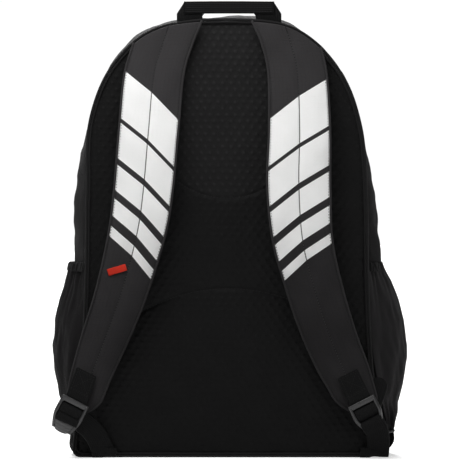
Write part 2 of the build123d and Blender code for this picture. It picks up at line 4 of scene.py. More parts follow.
import bmesh
import bpy
import numpy as np
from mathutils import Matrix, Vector


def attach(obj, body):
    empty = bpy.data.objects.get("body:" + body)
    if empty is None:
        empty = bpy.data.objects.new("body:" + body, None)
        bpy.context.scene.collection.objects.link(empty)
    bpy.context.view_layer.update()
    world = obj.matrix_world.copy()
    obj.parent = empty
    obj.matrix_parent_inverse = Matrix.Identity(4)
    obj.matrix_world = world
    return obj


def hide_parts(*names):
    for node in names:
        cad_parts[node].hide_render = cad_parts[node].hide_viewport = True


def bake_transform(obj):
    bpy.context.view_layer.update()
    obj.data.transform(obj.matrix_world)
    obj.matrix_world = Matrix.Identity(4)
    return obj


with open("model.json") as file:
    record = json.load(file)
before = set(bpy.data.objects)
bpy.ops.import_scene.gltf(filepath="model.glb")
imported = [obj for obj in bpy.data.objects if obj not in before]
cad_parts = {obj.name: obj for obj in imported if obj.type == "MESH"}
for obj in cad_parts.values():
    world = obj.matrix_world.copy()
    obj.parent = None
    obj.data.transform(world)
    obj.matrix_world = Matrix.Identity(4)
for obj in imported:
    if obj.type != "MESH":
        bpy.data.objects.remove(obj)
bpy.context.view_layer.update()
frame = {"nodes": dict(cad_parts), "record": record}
MM = 0.001

# ------------------------------------------------------------------ sizes, in millimetres, as in the CAD
SEAM_Y, WIDEST_Y, RIM_Y, PANEL_Y = -95.0, -30.0, 56.0, 66.0
BASE_Z, CENTRE_Z = 3.0, 240.0
ARCH_R, ARCH_Z, FOLD = 150.0, 290.0, 2.0
SEAM = [(169, 9), (159, 110), (155, 210), (154, 290), (147.5, 366), (123, 428), (71, 473), (0, 483)]
WIDEST = [(177.5, 12), (172, 70), (168, 120), (167, 210), (165, 293), (152, 359), (126, 426),
          (68, 477.5), (0, 486.5)]
RIM = [(ARCH_R, 23), (ARCH_R, 120), (ARCH_R, 210)] + [
    (ARCH_R * math.cos(math.radians(a)), ARCH_Z + ARCH_R * math.sin(math.radians(a)))
    for a in (0, 22.5, 45, 67.5, 90)]
STRAP = {                   # height, centre x and width, from the top down
    "left": [(482, -62, 69), (455, -71, 65), (421, -80.5, 65), (360, -86, 65), (290, -92, 64),
             (244, -99, 62), (184, -115, 57), (136, -132, 53), (93, -148, 45), (66, -156, 39)],
    "right": [(482, 62, 69), (455, 71, 64), (421, 78, 64), (360, 80, 67), (300, 79, 69),
              (240, 83, 65), (190, 95, 62), (142, 110, 60), (100, 127, 57), (72, 139, 49)]}
STRAP_TIP = {"left": (-161, 50), "right": (147, 50)}
STRAP_SIDE = [(480, -111), (421, -117), (334, -130), (244, -138), (170, -134), (115, -125.5),
              (80, -123.5), (30, -123.5)]       # height and y of a strap's middle layer
# middle of each buckle's top bar, and the buckle's turn in degrees
BAR = {"left": ((-166.6, -134.5, 61.6), 27.0), "right": ((148.0, -134.5, 61.0), -27.0)}
WEB_WIDTH = 25.0
PAD_SEAM_Y = -98.0          # bottom of the sewn channels


# ------------------------------------------------------------------ small maths
def smooth(x):
    x = np.clip(x, 0, 1)
    return x * x * (3 - 2 * x)


def curve_through(points, n, closed=False):
    """Catmull-Rom line through points, resampled to n points an even length apart."""
    p = np.array(points, float)
    if closed:
        ext = np.vstack([p[-1], p, p[0], p[1]])
    else:
        ext = np.vstack([2 * p[0] - p[1], p, 2 * p[-1] - p[-2]])
    dense = []
    for i in range(1, len(ext) - 2):
        a, b, c, d = ext[i - 1], ext[i], ext[i + 1], ext[i + 2]
        for t in np.linspace(0, 1, 24, endpoint=False):
            dense.append(0.5 * (2 * b + (c - a) * t + (2 * a - 5 * b + 4 * c - d) * t ** 2
                                + (3 * b - a - 3 * c + d) * t ** 3))
    if not closed:
        dense.append(p[-1])
    return resample(np.array(dense), n, closed)


def lengths(line):
    """How far each point is along its line."""
    return np.concatenate([[0], np.cumsum(np.linalg.norm(np.diff(line, axis=0), axis=1))])


def resample(line, n, closed=False, values=None):
    """n points an even length apart along a dense line, or there the values given at its points."""
    if closed:
        line = np.vstack([line, line[0]])
    values = line if values is None else values
    length = lengths(line)
    where = np.linspace(0, length[-1], n, endpoint=not closed)
    return np.column_stack([np.interp(where, length, values[:, k]) for k in range(values.shape[1])])


def along(table, z, column):
    """Smooth value of a table's column at heights z; the table's first column is height, falling."""
    rows = np.array(table, float)
    line = curve_through(rows, 240)
    order = np.argsort(line[:, 0])
    return np.interp(z, line[order, 0], line[order, column])


def outline(half, n, inset=0.0):
    """Closed bag outline (x, z), n points from the middle of the foot round by the right."""
    sx, sz = 1 - inset / 170.0, 1 - inset / 240.0
    right = [(x * sx, CENTRE_Z + (z - CENTRE_Z) * sz) for x, z in half]
    foot = CENTRE_Z + (BASE_Z - 1.4 - CENTRE_Z) * sz
    edge, corner_top = right[0]
    r = corner_top - foot
    side = curve_through(right + [(-x, z) for x, z in reversed(right[:-1])], 400)
    turn = np.radians(np.linspace(-90, 0, 14))
    corner = np.column_stack([edge - r + r * np.cos(turn), foot + r + r * np.sin(turn)])
    other = np.column_stack([-corner[::-1, 0], corner[::-1, 1]])
    line = np.vstack([[(0, foot)], corner, side, other])
    line = resample(line, n, closed=True)
    return line if half is RIM else lean(line, half is SEAM)


def right_half(ring):
    """An outline's points with x above 0, from the foot up."""
    right = ring[ring[:, 0] > 0]
    return right[np.argsort(right[:, 1])]


def lean(line, seam):
    """The worn bag stands a little fuller on its left, and full above the right pocket."""
    x, z = line[:, 0], line[:, 1]
    from_middle = line - (0, CENTRE_Z)
    from_middle /= np.linalg.norm(from_middle, axis=1, keepdims=True)
    left = 5.2 * smooth((z - 290) / 90 if seam else (z - 60) / 80) * smooth((-x - 44) / 60)
    right = (0 if seam else 4.6) * smooth((x - 60) / 60) * smooth((312 - z) / 50) * smooth((z - 150) / 60)
    right += 1.6 * smooth((x - 30) / 50) * smooth((z - 436) / 16)
    right -= 4.6 * smooth((x - 146) / 16) * (1 - smooth((z - 5) / 16))
    return line + from_middle * (left + right)[:, None]


def fbm(p, scale, seed=0.0):
    """Smooth noise at millimetre points, about -1 to 1: three octaves of slanted waves."""
    draw = np.random.default_rng(int(seed * 10) + 11)
    p = np.asarray(p, float).reshape(-1, 3)
    total, weight = np.zeros(len(p)), 1.0
    for octave in range(3):
        for _ in range(9):
            direction = draw.normal(size=3)
            direction *= draw.uniform(0.6, 1.5) * 2 ** octave / (scale * np.linalg.norm(direction)) * math.pi
            total += weight * np.sin(p @ direction + draw.uniform(0, 2 * math.pi))
        weight *= 0.5
    return total / 4.2


# ------------------------------------------------------------------ mesh helpers
def new_object(name, verts, faces, material, uv=None, shade=True):
    """Mesh object from millimetre points; uv is one millimetre pair for each point."""
    mesh = bpy.data.meshes.new(name)
    mesh.from_pydata([tuple(v) for v in np.asarray(verts, float) * MM], [],
                     [tuple(int(i) for i in f) for f in faces])
    if uv is not None:
        layer = mesh.uv_layers.new(name="UVMap")
        flat = np.asarray(uv, float) * MM
        loops = np.zeros(len(mesh.loops), int)
        mesh.loops.foreach_get("vertex_index", loops)
        layer.data.foreach_set("uv", flat[loops].ravel())
    mesh.polygons.foreach_set("use_smooth", [shade] * len(mesh.polygons))
    mesh.materials.append(material)
    mesh.update()
    obj = bpy.data.objects.new(name, mesh)
    bpy.context.collection.objects.link(obj)
    return obj


def grid_faces(nu, nv, close_u=False, close_v=False, offset=0, flip=False):
    faces = []
    for i in range(nu if close_u else nu - 1):
        for j in range(nv if close_v else nv - 1):
            a, b = i * nv + j, ((i + 1) % nu) * nv + j
            c, d = ((i + 1) % nu) * nv + (j + 1) % nv, i * nv + (j + 1) % nv
            quad = (a + offset, b + offset, c + offset, d + offset)
            faces.append(quad[::-1] if flip else quad)
    return faces


def end_caps(rows, around):
    """The two end faces of a closed tube of rows, with that many points around it."""
    last = rows * around - 1
    return [tuple(range(around)), tuple(range(last, last - around, -1))]


def fix_normals(obj, merge=True):
    """Merge doubled points, unless told not to, and turn every face outwards."""
    bm = bmesh.new()
    bm.from_mesh(obj.data)
    if merge:
        bmesh.ops.remove_doubles(bm, verts=bm.verts, dist=1e-5)
        bmesh.ops.dissolve_degenerate(bm, dist=1e-6, edges=bm.edges)
    bmesh.ops.recalc_face_normals(bm, faces=bm.faces)
    bm.to_mesh(obj.data)
    bm.free()
    return obj


def apply_modifiers(obj):
    """Keep the evaluated mesh and drop the modifiers."""
    bpy.context.view_layer.update()
    graph = bpy.context.evaluated_depsgraph_get()
    mesh = bpy.data.meshes.new_from_object(obj.evaluated_get(graph), depsgraph=graph)
    obj.modifiers.clear()
    obj.data = mesh
    return obj


def subdivide(obj):
    obj.modifiers.new("Subdivision", "SUBSURF").levels = 1
    return apply_modifiers(obj)


def solidify(obj, thickness, offset=0.0):
    """Give an open sheet its thickness in mm: offset 0 is half on each side, 1 all along the normals."""
    thick = obj.modifiers.new("Solidify", "SOLIDIFY")
    thick.thickness, thick.offset = thickness * MM, offset
    return apply_modifiers(obj)


def bevel(obj, width, segments, angle=None):
    """Round every edge, or only the edges sharper than an angle in degrees."""
    edge = obj.modifiers.new("Bevel", "BEVEL")
    edge.width, edge.segments = width * MM, segments
    if angle is None:
        edge.limit_method = "NONE"
    else:
        edge.angle_limit = math.radians(angle)
    return apply_modifiers(obj)


def coords(obj):
    co = np.zeros(len(obj.data.vertices) * 3)
    obj.data.vertices.foreach_get("co", co)
    return co.reshape(-1, 3) / MM


def set_coords(obj, points):
    obj.data.vertices.foreach_set("co", (np.asarray(points) * MM).ravel())
    obj.data.update()


def inflate(obj, pins, pressure, cap, stiffness=12.0, frames=18):
    """Cloth simulation: blow the mesh up round its pinned points, then cap how far each point moved."""
    start = coords(obj)
    group = obj.vertex_groups.new(name="pins")
    for index, weight in enumerate(pins):
        if weight > 0:
            group.add([index], float(weight), "REPLACE")
    cloth = obj.modifiers.new("Cloth", "CLOTH")
    cloth.settings.quality = 5
    cloth.settings.mass = 0.25
    cloth.settings.tension_stiffness = stiffness
    cloth.settings.compression_stiffness = stiffness
    cloth.settings.shear_stiffness = 4
    cloth.settings.bending_stiffness = 0.4
    cloth.settings.vertex_group_mass = "pins"
    cloth.settings.use_pressure = True
    cloth.settings.uniform_pressure_force = pressure
    cloth.settings.effector_weights.gravity = 0
    cloth.collision_settings.use_self_collision = False
    cloth.point_cache.frame_start, cloth.point_cache.frame_end = 1, frames
    for step in range(1, frames + 1):
        bpy.context.scene.frame_set(step)
    graph = bpy.context.evaluated_depsgraph_get()
    moved = obj.evaluated_get(graph).to_mesh()
    end = np.zeros(len(moved.vertices) * 3)
    moved.vertices.foreach_get("co", end)
    end = end.reshape(-1, 3) / MM
    obj.modifiers.clear()
    obj.vertex_groups.clear()
    bpy.context.scene.frame_set(1)
    shift = end - start
    far = np.linalg.norm(shift, axis=1, keepdims=True)
    limit = np.broadcast_to(np.asarray(cap, float).reshape(-1, 1), far.shape)
    shift *= np.where(far > 1e-6, limit * np.tanh(far / limit) / np.maximum(far, 1e-6), 0)
    set_coords(obj, start + shift)
    return start + shift


def frames_along(line, out):
    """Unit tangents, sideways and outward directions along a line, where out is roughly outward."""
    line = np.asarray(line, float)
    tangent = np.gradient(line, axis=0)
    tangent /= np.linalg.norm(tangent, axis=1, keepdims=True)
    out = np.broadcast_to(np.asarray(out, float), line.shape)
    side = np.cross(tangent, out)
    side /= np.linalg.norm(side, axis=1, keepdims=True)
    return tangent, side, np.cross(side, tangent)


def ribbon(name, line, out, width, thickness, material, taper=None):
    """Flat webbing along a line, with rounded selvedges; taper scales the width at each point."""
    line = np.asarray(line, float)
    _, side, up = frames_along(line, out)
    half = thickness / 2
    shape = [(-1, 0), (-0.97, 0.8), (-0.9, 1), (-0.45, 1), (0, 1), (0.45, 1), (0.9, 1), (0.97, 0.8),
             (1, 0), (0.97, -0.8), (0.9, -1), (0.45, -1), (0, -1), (-0.45, -1), (-0.9, -1), (-0.97, -0.8)]
    scale = np.ones(len(line)) if taper is None else np.asarray(taper, float)
    run = lengths(line)
    verts, uv = [], []
    for i, p in enumerate(line):
        for s, t in shape:
            verts.append(p + side[i] * s * width / 2 * scale[i] + up[i] * (t * half))
            uv.append((s * width / 2 * scale[i] if t >= 0 else 60 - s * width / 2 * scale[i], run[i]))
    n = len(shape)
    faces = grid_faces(len(line), n, close_v=True) + end_caps(len(line), n)
    return fix_normals(new_object(name, verts, faces, material, uv))


def tube(name, line, radius, material, closed=False, sides=10, flat=1.0, out=(0, -1, 0)):
    """Round or flattened tube along a line."""
    line = np.asarray(line, float)
    if closed:
        ring = np.vstack([line[-1], line, line[0]])
        _, side, up = frames_along(ring, out)
        side, up = side[1:-1], up[1:-1]
    else:
        _, side, up = frames_along(line, out)
    angle = np.linspace(0, 2 * math.pi, sides, endpoint=False)
    run = lengths(line)
    verts, uv = [], []
    size = np.broadcast_to(np.asarray(radius, float), (len(line),))
    for i, p in enumerate(line):
        for a in angle:
            verts.append(p + size[i] * (side[i] * math.cos(a) + up[i] * flat * math.sin(a)))
            uv.append((a * size[i], run[i]))
    faces = grid_faces(len(line), sides, close_u=closed, close_v=True)
    if not closed:
        faces += end_caps(len(line), sides)
    return fix_normals(new_object(name, verts, faces, material, uv))


STITCH = [(-1, 0, 0), (-0.55, -0.5, 0.75), (-0.55, 0.5, 0.75),
          (0.55, 0.5, 0.75), (0.55, -0.5, 0.75), (1, 0, 0)]
STITCH_FACES = [(0, 1, 2), (5, 3, 4), (1, 4, 3, 2), (0, 4, 1), (0, 5, 4), (0, 2, 3), (0, 3, 5)]


def stitches(name, line, out, material, pitch=3.2, length=2.1, width=0.7, height=0.5, lift=0.0):
    """Row of sewn stitches lying on a line."""
    line = np.asarray(line, float)
    total = np.linalg.norm(np.diff(line, axis=0), axis=1).sum()
    spots = resample(line, max(3, int(total / pitch)))
    outs = np.broadcast_to(np.asarray(out, float), line.shape)
    out_at = resample(line, len(spots), values=outs)
    tangent, side, up = frames_along(spots, out_at)
    verts, faces = [], []
    for i, p in enumerate(spots):
        base = len(verts)
        for a, b, c in STITCH:
            verts.append(p + tangent[i] * a * length / 2 + side[i] * b * width + up[i] * (c * height + lift))
        faces += [tuple(base + k for k in f) for f in STITCH_FACES]
    return new_object(name, verts, faces, material, shade=False)


def paint_shade(obj, amount):
    """Store how much painted shade the cloth has at each point, making it darker and duller; 0 is none."""
    values = obj.data.attributes.new("painted_shade", "FLOAT", "POINT").data
    values.foreach_set("value", np.asarray(amount, np.float32))


def paint_shade_low(obj, high, low, least=0.0):
    """Painted shade near the ground: from the least at the upper height to all at the lower one."""
    paint_shade(obj, least + (1 - least) * smooth((high - coords(obj)[:, 2]) / (high - low)))


def rounded_bar(name, corners, material, radius=0.8, segments=3):
    """Hexahedron from eight corners, low four then high four, with rounded edges."""
    faces = [(0, 3, 2, 1), (4, 5, 6, 7), (0, 1, 5, 4), (1, 2, 6, 5), (2, 3, 7, 6), (3, 0, 4, 7)]
    obj = fix_normals(new_object(name, corners, faces, material))
    return bevel(obj, radius, segments)


def join(name, objects):
    """One object from several; the first one's materials come first."""
    bpy.ops.object.select_all(action="DESELECT")
    for o in objects:
        o.select_set(True)
    bpy.context.view_layer.objects.active = objects[0]
    bpy.ops.object.join()
    objects[0].name = name
    return objects[0]


# ------------------------------------------------------------------ materials
class Shader:
    """Short way to build a node material on a Principled surface."""

    def __init__(self, name, color, rough, **sockets):
        self.mat = bpy.data.materials.new(name)
        self.mat.use_nodes = True
        self.tree = self.mat.node_tree
        self.surface = self.tree.nodes["Principled BSDF"]
        self.surface.inputs["Base Color"].default_value = (*color, 1)
        self.surface.inputs["Roughness"].default_value = rough
        for key, value in sockets.items():
            self.surface.inputs[key.replace("_", " ")].default_value = value

    def node(self, kind, **inputs):
        n = self.tree.nodes.new(kind)
        for key, value in inputs.items():
            numbered = key[0] == "i" and key[1:].isdigit()
            slot = n.inputs[int(key[1:])] if numbered else n.inputs[key.replace("_", " ")]
            if isinstance(value, bpy.types.NodeSocket):
                self.tree.links.new(value, slot)
            else:
                slot.default_value = value
        return n

    def math(self, operation, a, b=0.0, c=0.0, clamp=False):
        n = self.node("ShaderNodeMath", i0=a, i1=b, i2=c)
        n.operation, n.use_clamp = operation, clamp
        return n.outputs[0]

    def coords(self, kind="Object"):
        return self.node("ShaderNodeTexCoord").outputs[kind]

    def noise(self, vector, scale, detail=3.0, rough=0.55):
        n = self.node("ShaderNodeTexNoise", Vector=vector, Scale=scale, Detail=detail, Roughness=rough)
        return n.outputs[0]

    def split(self, vector):
        n = self.node("ShaderNodeSeparateXYZ", i0=vector)
        return n.outputs[0], n.outputs[1], n.outputs[2]

    def mix(self, factor, a, b):
        n = self.tree.nodes.new("ShaderNodeMix")
        n.data_type = "RGBA"
        for slot, value in ((n.inputs[0], factor), (n.inputs[6], a), (n.inputs[7], b)):
            if isinstance(value, bpy.types.NodeSocket):
                self.tree.links.new(value, slot)
            else:
                slot.default_value = value if not isinstance(value, tuple) else (*value, 1)
        return n.outputs[2]

    def color(self, socket):
        self.tree.links.new(socket, self.surface.inputs["Base Color"])

    def tint(self, factor, color, low, high):
        """Base colour between low and high times a colour."""
        self.color(self.mix(factor, tuple(c * low for c in color), tuple(c * high for c in color)))

    def painted_shade(self):
        """How much painted shade the surface has at each point, as paint_shade() stored it."""
        n = self.node("ShaderNodeAttribute")
        n.attribute_name = "painted_shade"
        return n.outputs["Fac"]

    def rough(self, socket):
        self.tree.links.new(socket, self.surface.inputs["Roughness"])

    def bump(self, height, distance, strength=1.0):
        n = self.node("ShaderNodeBump", Height=height, Strength=strength, Distance=distance)
        previous = self.surface.inputs["Normal"].links
        if previous:
            self.tree.links.new(previous[0].from_socket, n.inputs["Normal"])
        self.tree.links.new(n.outputs[0], self.surface.inputs["Normal"])

    def wave(self, value, pitch):
        """0 to 1 sine of a length in metres with that pitch."""
        turn = self.math("MULTIPLY", value, 2 * math.pi / pitch)
        return self.math("MULTIPLY_ADD", self.math("SINE", turn), 0.5, 0.5)

    def lines(self, value, pitch, width):
        """1 on thin lines a pitch apart, 0 between them."""
        part = self.math("FRACT", self.math("MULTIPLY", value, 1 / pitch))
        return self.math("LESS_THAN", part, width / pitch)


def cloth_material(name, color, uv=True, weave=0.0007, ripstop=0.0, rough=0.8, variation=0.25):
    """Woven polyester: crossed threads, an optional ripstop grid, slow colour variation, and painted shade
    where stored.
    """
    sheen, gloss, bump = 0.03, 0.12, 0.00012
    s = Shader(name, color, rough, Sheen_Weight=sheen, Sheen_Roughness=0.5, Specular_IOR_Level=gloss)
    place = s.coords("UV" if uv else "Object")
    x, y, z = s.split(place)
    across, down = (x, y) if uv else (s.math("ADD", x, y), z)
    warp, weft = s.wave(across, weave), s.wave(down, weave)
    threads = s.math("MAXIMUM", s.math("MULTIPLY", warp, s.math("SUBTRACT", 1.0, weft)),
                     s.math("MULTIPLY", weft, s.math("SUBTRACT", 1.0, warp)))
    cloud = s.noise(place, 22.0, 4.0, 0.6)
    fleck = s.noise(place, 900.0, 2.0)
    mottle = s.math("ADD", s.math("MULTIPLY", cloud, 0.6), s.math("MULTIPLY", fleck, 0.8))
    shade = s.math("MULTIPLY_ADD", mottle, variation * 2, 1.0 - variation * 1.4)
    height = threads
    if ripstop:
        grid = s.math("MAXIMUM", s.lines(across, ripstop, 0.0005), s.lines(down, ripstop, 0.0005))
        shade = s.math("MULTIPLY", shade, s.math("MULTIPLY_ADD", grid, -0.13, 1.0))
        height = s.math("ADD", threads, s.math("MULTIPLY", grid, 0.8))
    painted_shade = s.painted_shade()
    # painted shade: where stored, the cloth is painted darker and its sheen and gloss are turned down
    shade = s.math("MULTIPLY", shade, s.math("MULTIPLY_ADD", painted_shade, -0.6, 1.0))
    for socket, full in (("Sheen Weight", sheen), ("Specular IOR Level", gloss)):
        shine = s.math("MULTIPLY_ADD", painted_shade, -0.85 * full, full, clamp=True)
        s.tree.links.new(shine, s.surface.inputs[socket])
    s.tint(s.math("MULTIPLY", shade, 0.8, clamp=True), color, 0.12, 1.25)
    s.rough(s.math("MULTIPLY_ADD", cloud, 0.2, rough - 0.1))
    s.bump(height, bump)
    s.bump(s.noise(place, 120.0, 3.0), 0.0002, 0.5)
    return s.mat


def strap_material(name, color, top, slope, bend):
    """Strap fabric with its print of narrowing bands, a painted glow that keeps the print white and a painted
    shadow along the centre crease; UV is across, positive to the inner edge, and along.
    """
    mat = cloth_material(name, color, ripstop=0.0042, variation=0.34)
    s = Shader.__new__(Shader)
    s.mat, s.tree = mat, mat.node_tree
    s.surface = s.tree.nodes["Principled BSDF"]
    x, y, _ = s.split(s.coords("UV"))
    bow = s.math("MULTIPLY", s.math("ABSOLUTE", x), -bend)
    q = s.math("ADD", s.math("MULTIPLY_ADD", x, -slope, y), bow)
    mask = None
    for band, gap in PRINT_STEPS:
        below_top, above_end = s.math("GREATER_THAN", q, top * MM), s.math("LESS_THAN", q, (top + band) * MM)
        one = s.math("MULTIPLY", below_top, above_end)
        mask = one if mask is None else s.math("ADD", mask, one)
        top += band + gap
    face_only = s.math("LESS_THAN", s.math("ABSOLUTE", x), PRINT_HALF * MM)
    mask = s.math("MULTIPLY", mask, face_only)
    wear = s.noise(s.coords("UV"), 700.0, 3.0)
    soft = s.mix(s.math("MULTIPLY", wear, 0.5), WHITE, tuple(c * 0.86 for c in WHITE))
    cloth = s.surface.inputs["Base Color"].links[0].from_socket
    # painted shadow: a dark dashed line along the centre crease, the shade in its groove and needle holes
    holes = s.math("LESS_THAN", s.math("FRACT", s.math("MULTIPLY", y, 1 / 0.0031)), 0.62)
    on_crease = s.math("LESS_THAN", s.math("ABSOLUTE", x), 0.0006)
    crease = s.math("MULTIPLY", on_crease, s.math("MULTIPLY_ADD", holes, 0.4, 0.5))
    s.color(s.mix(crease, s.mix(mask, cloth, soft), tuple(c * 0.3 for c in color)))
    s.bump(mask, 0.00015, 0.6)
    # painted light: the white print glows with its own colour
    s.tree.links.new(soft, s.surface.inputs["Emission Color"])
    glow = s.math("MULTIPLY", mask, s.math("MULTIPLY_ADD", crease, -WHITE_GLOW, WHITE_GLOW))
    s.tree.links.new(glow, s.surface.inputs["Emission Strength"])
    return mat


PRINT_STEPS = ((52, 5), (39, 7), (28, 9), (19, 11), (11, 0))   # white band, then the gap under it
PRINT_HALF = 40.0
WHITE_GLOW = 0.13           # painted light: the print's glow, which keeps it white in the shade
WHITE = (0.93, 0.93, 0.92)


def webbing_material(name, color):
    """Ribbed webbing: fine ribs along its length and crossed threads."""
    s = Shader(name, color, 0.62, Sheen_Weight=0.02, Sheen_Roughness=0.4, Specular_IOR_Level=0.1)
    place = s.coords("UV")
    x, y, _ = s.split(place)
    ribs = s.wave(x, 0.0021)
    picks = s.wave(s.math("ADD", y, s.math("MULTIPLY", s.wave(x, 0.0042), 0.0004)), 0.0011)
    cloud = s.noise(place, 60.0)
    s.tint(s.math("MULTIPLY_ADD", ribs, 0.5, s.math("MULTIPLY", cloud, 0.5)), color, 0.45, 1.6)
    s.rough(s.math("MULTIPLY_ADD", cloud, 0.25, 0.5))
    s.bump(ribs, 0.0003, 0.8)
    s.bump(picks, 0.00012, 0.8)
    return s.mat


def mesh_material(name, color, uv=True):
    """Black air mesh: open knit, with embossed dots in staggered rows, painted highlights on the dots and
    painted shade where stored.
    """
    s = Shader(name, color, 0.62, Sheen_Weight=0.02, Sheen_Roughness=0.45, Specular_IOR_Level=0.1)
    place = s.coords("UV" if uv else "Object")
    x, y, _ = s.split(place)
    cells = s.node("ShaderNodeTexVoronoi", Vector=place, Scale=720.0, Randomness=0.25)
    hole = s.math("LESS_THAN", cells.outputs["Distance"], 0.32)
    cloud = s.noise(place, 30.0)
    tone = s.math("MULTIPLY_ADD", hole, -0.25, s.math("MULTIPLY_ADD", cloud, 0.3, 0.35))
    if uv:
        near = None
        for offset in (0.0, 0.5):
            parts = []
            for value, pitch in ((x, MESH_PITCH * MM), (y, 2 * MESH_ROW * MM)):
                part = s.math("FRACT", s.math("MULTIPLY_ADD", value, 1 / pitch, offset + 20.5))
                parts.append(s.math("POWER", s.math("MULTIPLY", s.math("SUBTRACT", part, 0.5), pitch), 2.0))
            span = s.math("SQRT", s.math("ADD", parts[0], parts[1]))
            near = span if near is None else s.math("MINIMUM", near, span)
        dot = s.math("MULTIPLY_ADD", near, -1 / (1.1 * MM), 2.0, clamp=True)
        off_rim = s.math("ABSOLUTE", s.math("SUBTRACT", near, 3.3 * MM))
        rim = s.math("SUBTRACT", 1.0, s.math("MULTIPLY", off_rim, 1 / (0.7 * MM)), clamp=True)
        # painted highlight: the dots, and faintly their rims, are painted lighter, by varying amounts
        painted_glint = s.math("MULTIPLY_ADD", s.noise(place, 45.0, 2.0), 1.5, -0.25)
        tone = s.math("ADD", tone, s.math("MULTIPLY_ADD", dot, painted_glint, s.math("MULTIPLY", rim, 0.07)))
    # painted shade: where stored, the mesh is painted darker
    tone = s.math("MULTIPLY", tone, s.math("MULTIPLY_ADD", s.painted_shade(), -0.95, 1.0), clamp=True)
    s.tint(tone, color, 0.3, 2.45)
    s.rough(s.math("MULTIPLY_ADD", cloud, 0.2, 0.5))
    s.bump(cells.outputs["Distance"], 0.00025, 0.7)
    if uv:
        s.bump(dot, 0.0004, 0.8)
    return s.mat


MESH_PITCH, MESH_ROW = 9.4, 7.0


def plastic_material(name, color, rough=0.38, grain=0.00004):
    """Moulded plastic with a fine spark-eroded grain."""
    s = Shader(name, color, rough, Specular_IOR_Level=0.5)
    place = s.coords("Object")
    cloud = s.noise(place, 90.0)
    s.tint(cloud, color, 0.75, 1.3)
    s.rough(s.math("MULTIPLY_ADD", cloud, 0.22, rough - 0.1))
    s.bump(s.noise(place, 2600.0, 2.0), grain, 0.7)
    return s.mat


def elastic_material(name, color):
    """Elastic binding: upright ribs bunched by the gather."""
    s = Shader(name, color, 0.7, Sheen_Weight=0.03, Specular_IOR_Level=0.1)
    place = s.coords("UV")
    x, y, _ = s.split(place)
    ribs = s.wave(s.math("ADD", x, s.math("MULTIPLY", s.noise(place, 60.0), 0.004)), 0.0026)
    s.tint(ribs, color, 0.5, 1.6)
    s.bump(ribs, 0.0006, 0.9)
    s.bump(s.wave(y, 0.0012), 0.00015, 0.6)
    return s.mat


def metal_material(name, color, rough=0.35):
    s = Shader(name, color, rough, Metallic=0.9)
    place = s.coords("Object")
    cloud = s.noise(place, 240.0)
    s.tint(cloud, color, 0.7, 1.4)
    s.rough(s.math("MULTIPLY_ADD", cloud, 0.25, rough - 0.1))
    s.bump(s.noise(place, 1500.0), 0.00003, 0.5)
    return s.mat


CHARCOAL = (0.0150, 0.0142, 0.0148)
mat_shell = cloth_material("shell_fabric", CHARCOAL, ripstop=0.0055)
mat_base = cloth_material("base_fabric", (0.009, 0.009, 0.009), uv=False, weave=0.0012, rough=0.6)
# painted light: the left strap's cloth is a little lighter than the right one's, for the light that falls on
# it
mat_strap = {"left": strap_material("strap_fabric_left", (0.038, 0.0361, 0.0375), 80.7, 0.855, 0.105),
             "right": strap_material("strap_fabric_right", (0.0345, 0.0328, 0.034), 84.0, 0.685, 0.085)}
mat_strap_edge = cloth_material("strap_edge", (0.031, 0.0295, 0.0305), weave=0.0009)
mat_piping = cloth_material("piping", (0.0092, 0.0090, 0.0092), weave=0.0009, rough=0.7)
mat_mesh = mesh_material("back_mesh", (0.0056, 0.0055, 0.0056))
mat_mesh_object = mesh_material("mesh_skin", (0.0056, 0.0055, 0.0056), uv=False)
mat_webbing = webbing_material("webbing", (0.0027, 0.0027, 0.0028))
mat_webbing_object = cloth_material("webbing_end", (0.008, 0.008, 0.0082), uv=False, weave=0.0016)
mat_elastic = elastic_material("elastic", (0.0058, 0.0057, 0.0058))
mat_buckle = plastic_material("buckle_plastic", (0.021, 0.0207, 0.0213), 0.34)
mat_teeth = plastic_material("zip_teeth", (0.02, 0.02, 0.022), 0.3)
mat_tape = cloth_material("zip_tape", (0.012, 0.012, 0.013), uv=False, weave=0.0011)
mat_slider = metal_material("zip_slider", (0.09, 0.09, 0.095))
mat_pull = plastic_material("pull_rubber", (0.018, 0.018, 0.018), 0.6, 0.0001)
mat_lining = cloth_material("lining", (0.075, 0.075, 0.08), uv=False, weave=0.0009, ripstop=0.004)
mat_foam = cloth_material("foam", (0.03, 0.03, 0.03), uv=False, weave=0.002)
mat_board = plastic_material("board", (0.04, 0.04, 0.04), 0.5)
mat_thread = cloth_material("thread", (0.022, 0.0215, 0.022), uv=False, weave=0.0005)
mat_thread_light = cloth_material("thread_light", (0.07, 0.069, 0.07), uv=False, weave=0.0005)
mat_red = cloth_material("accent_red", (0.62, 0.035, 0.018), uv=False, weave=0.0009, rough=0.65)

SLOT_MATERIAL = {
    "shell_fabric": mat_shell, "base_fabric": mat_base, "board": mat_board, "zip_tape": mat_tape,
    "zip_teeth": mat_teeth, "elastic": mat_elastic, "piping": mat_piping, "foam": mat_foam,
    "lining": mat_lining, "back_mesh": mat_mesh_object, "strap_fabric": mat_lining,
    "webbing": mat_webbing_object, "buckle_plastic": mat_buckle, "accent": mat_red,
    "zip_slider": mat_slider, "pull_rubber": mat_pull}
for part in frame["record"]["subparts"]:
    node = frame["nodes"][part["node"]]
    for material_slot in node.material_slots:
        material_slot.material = SLOT_MATERIAL[part["material_slot"]]


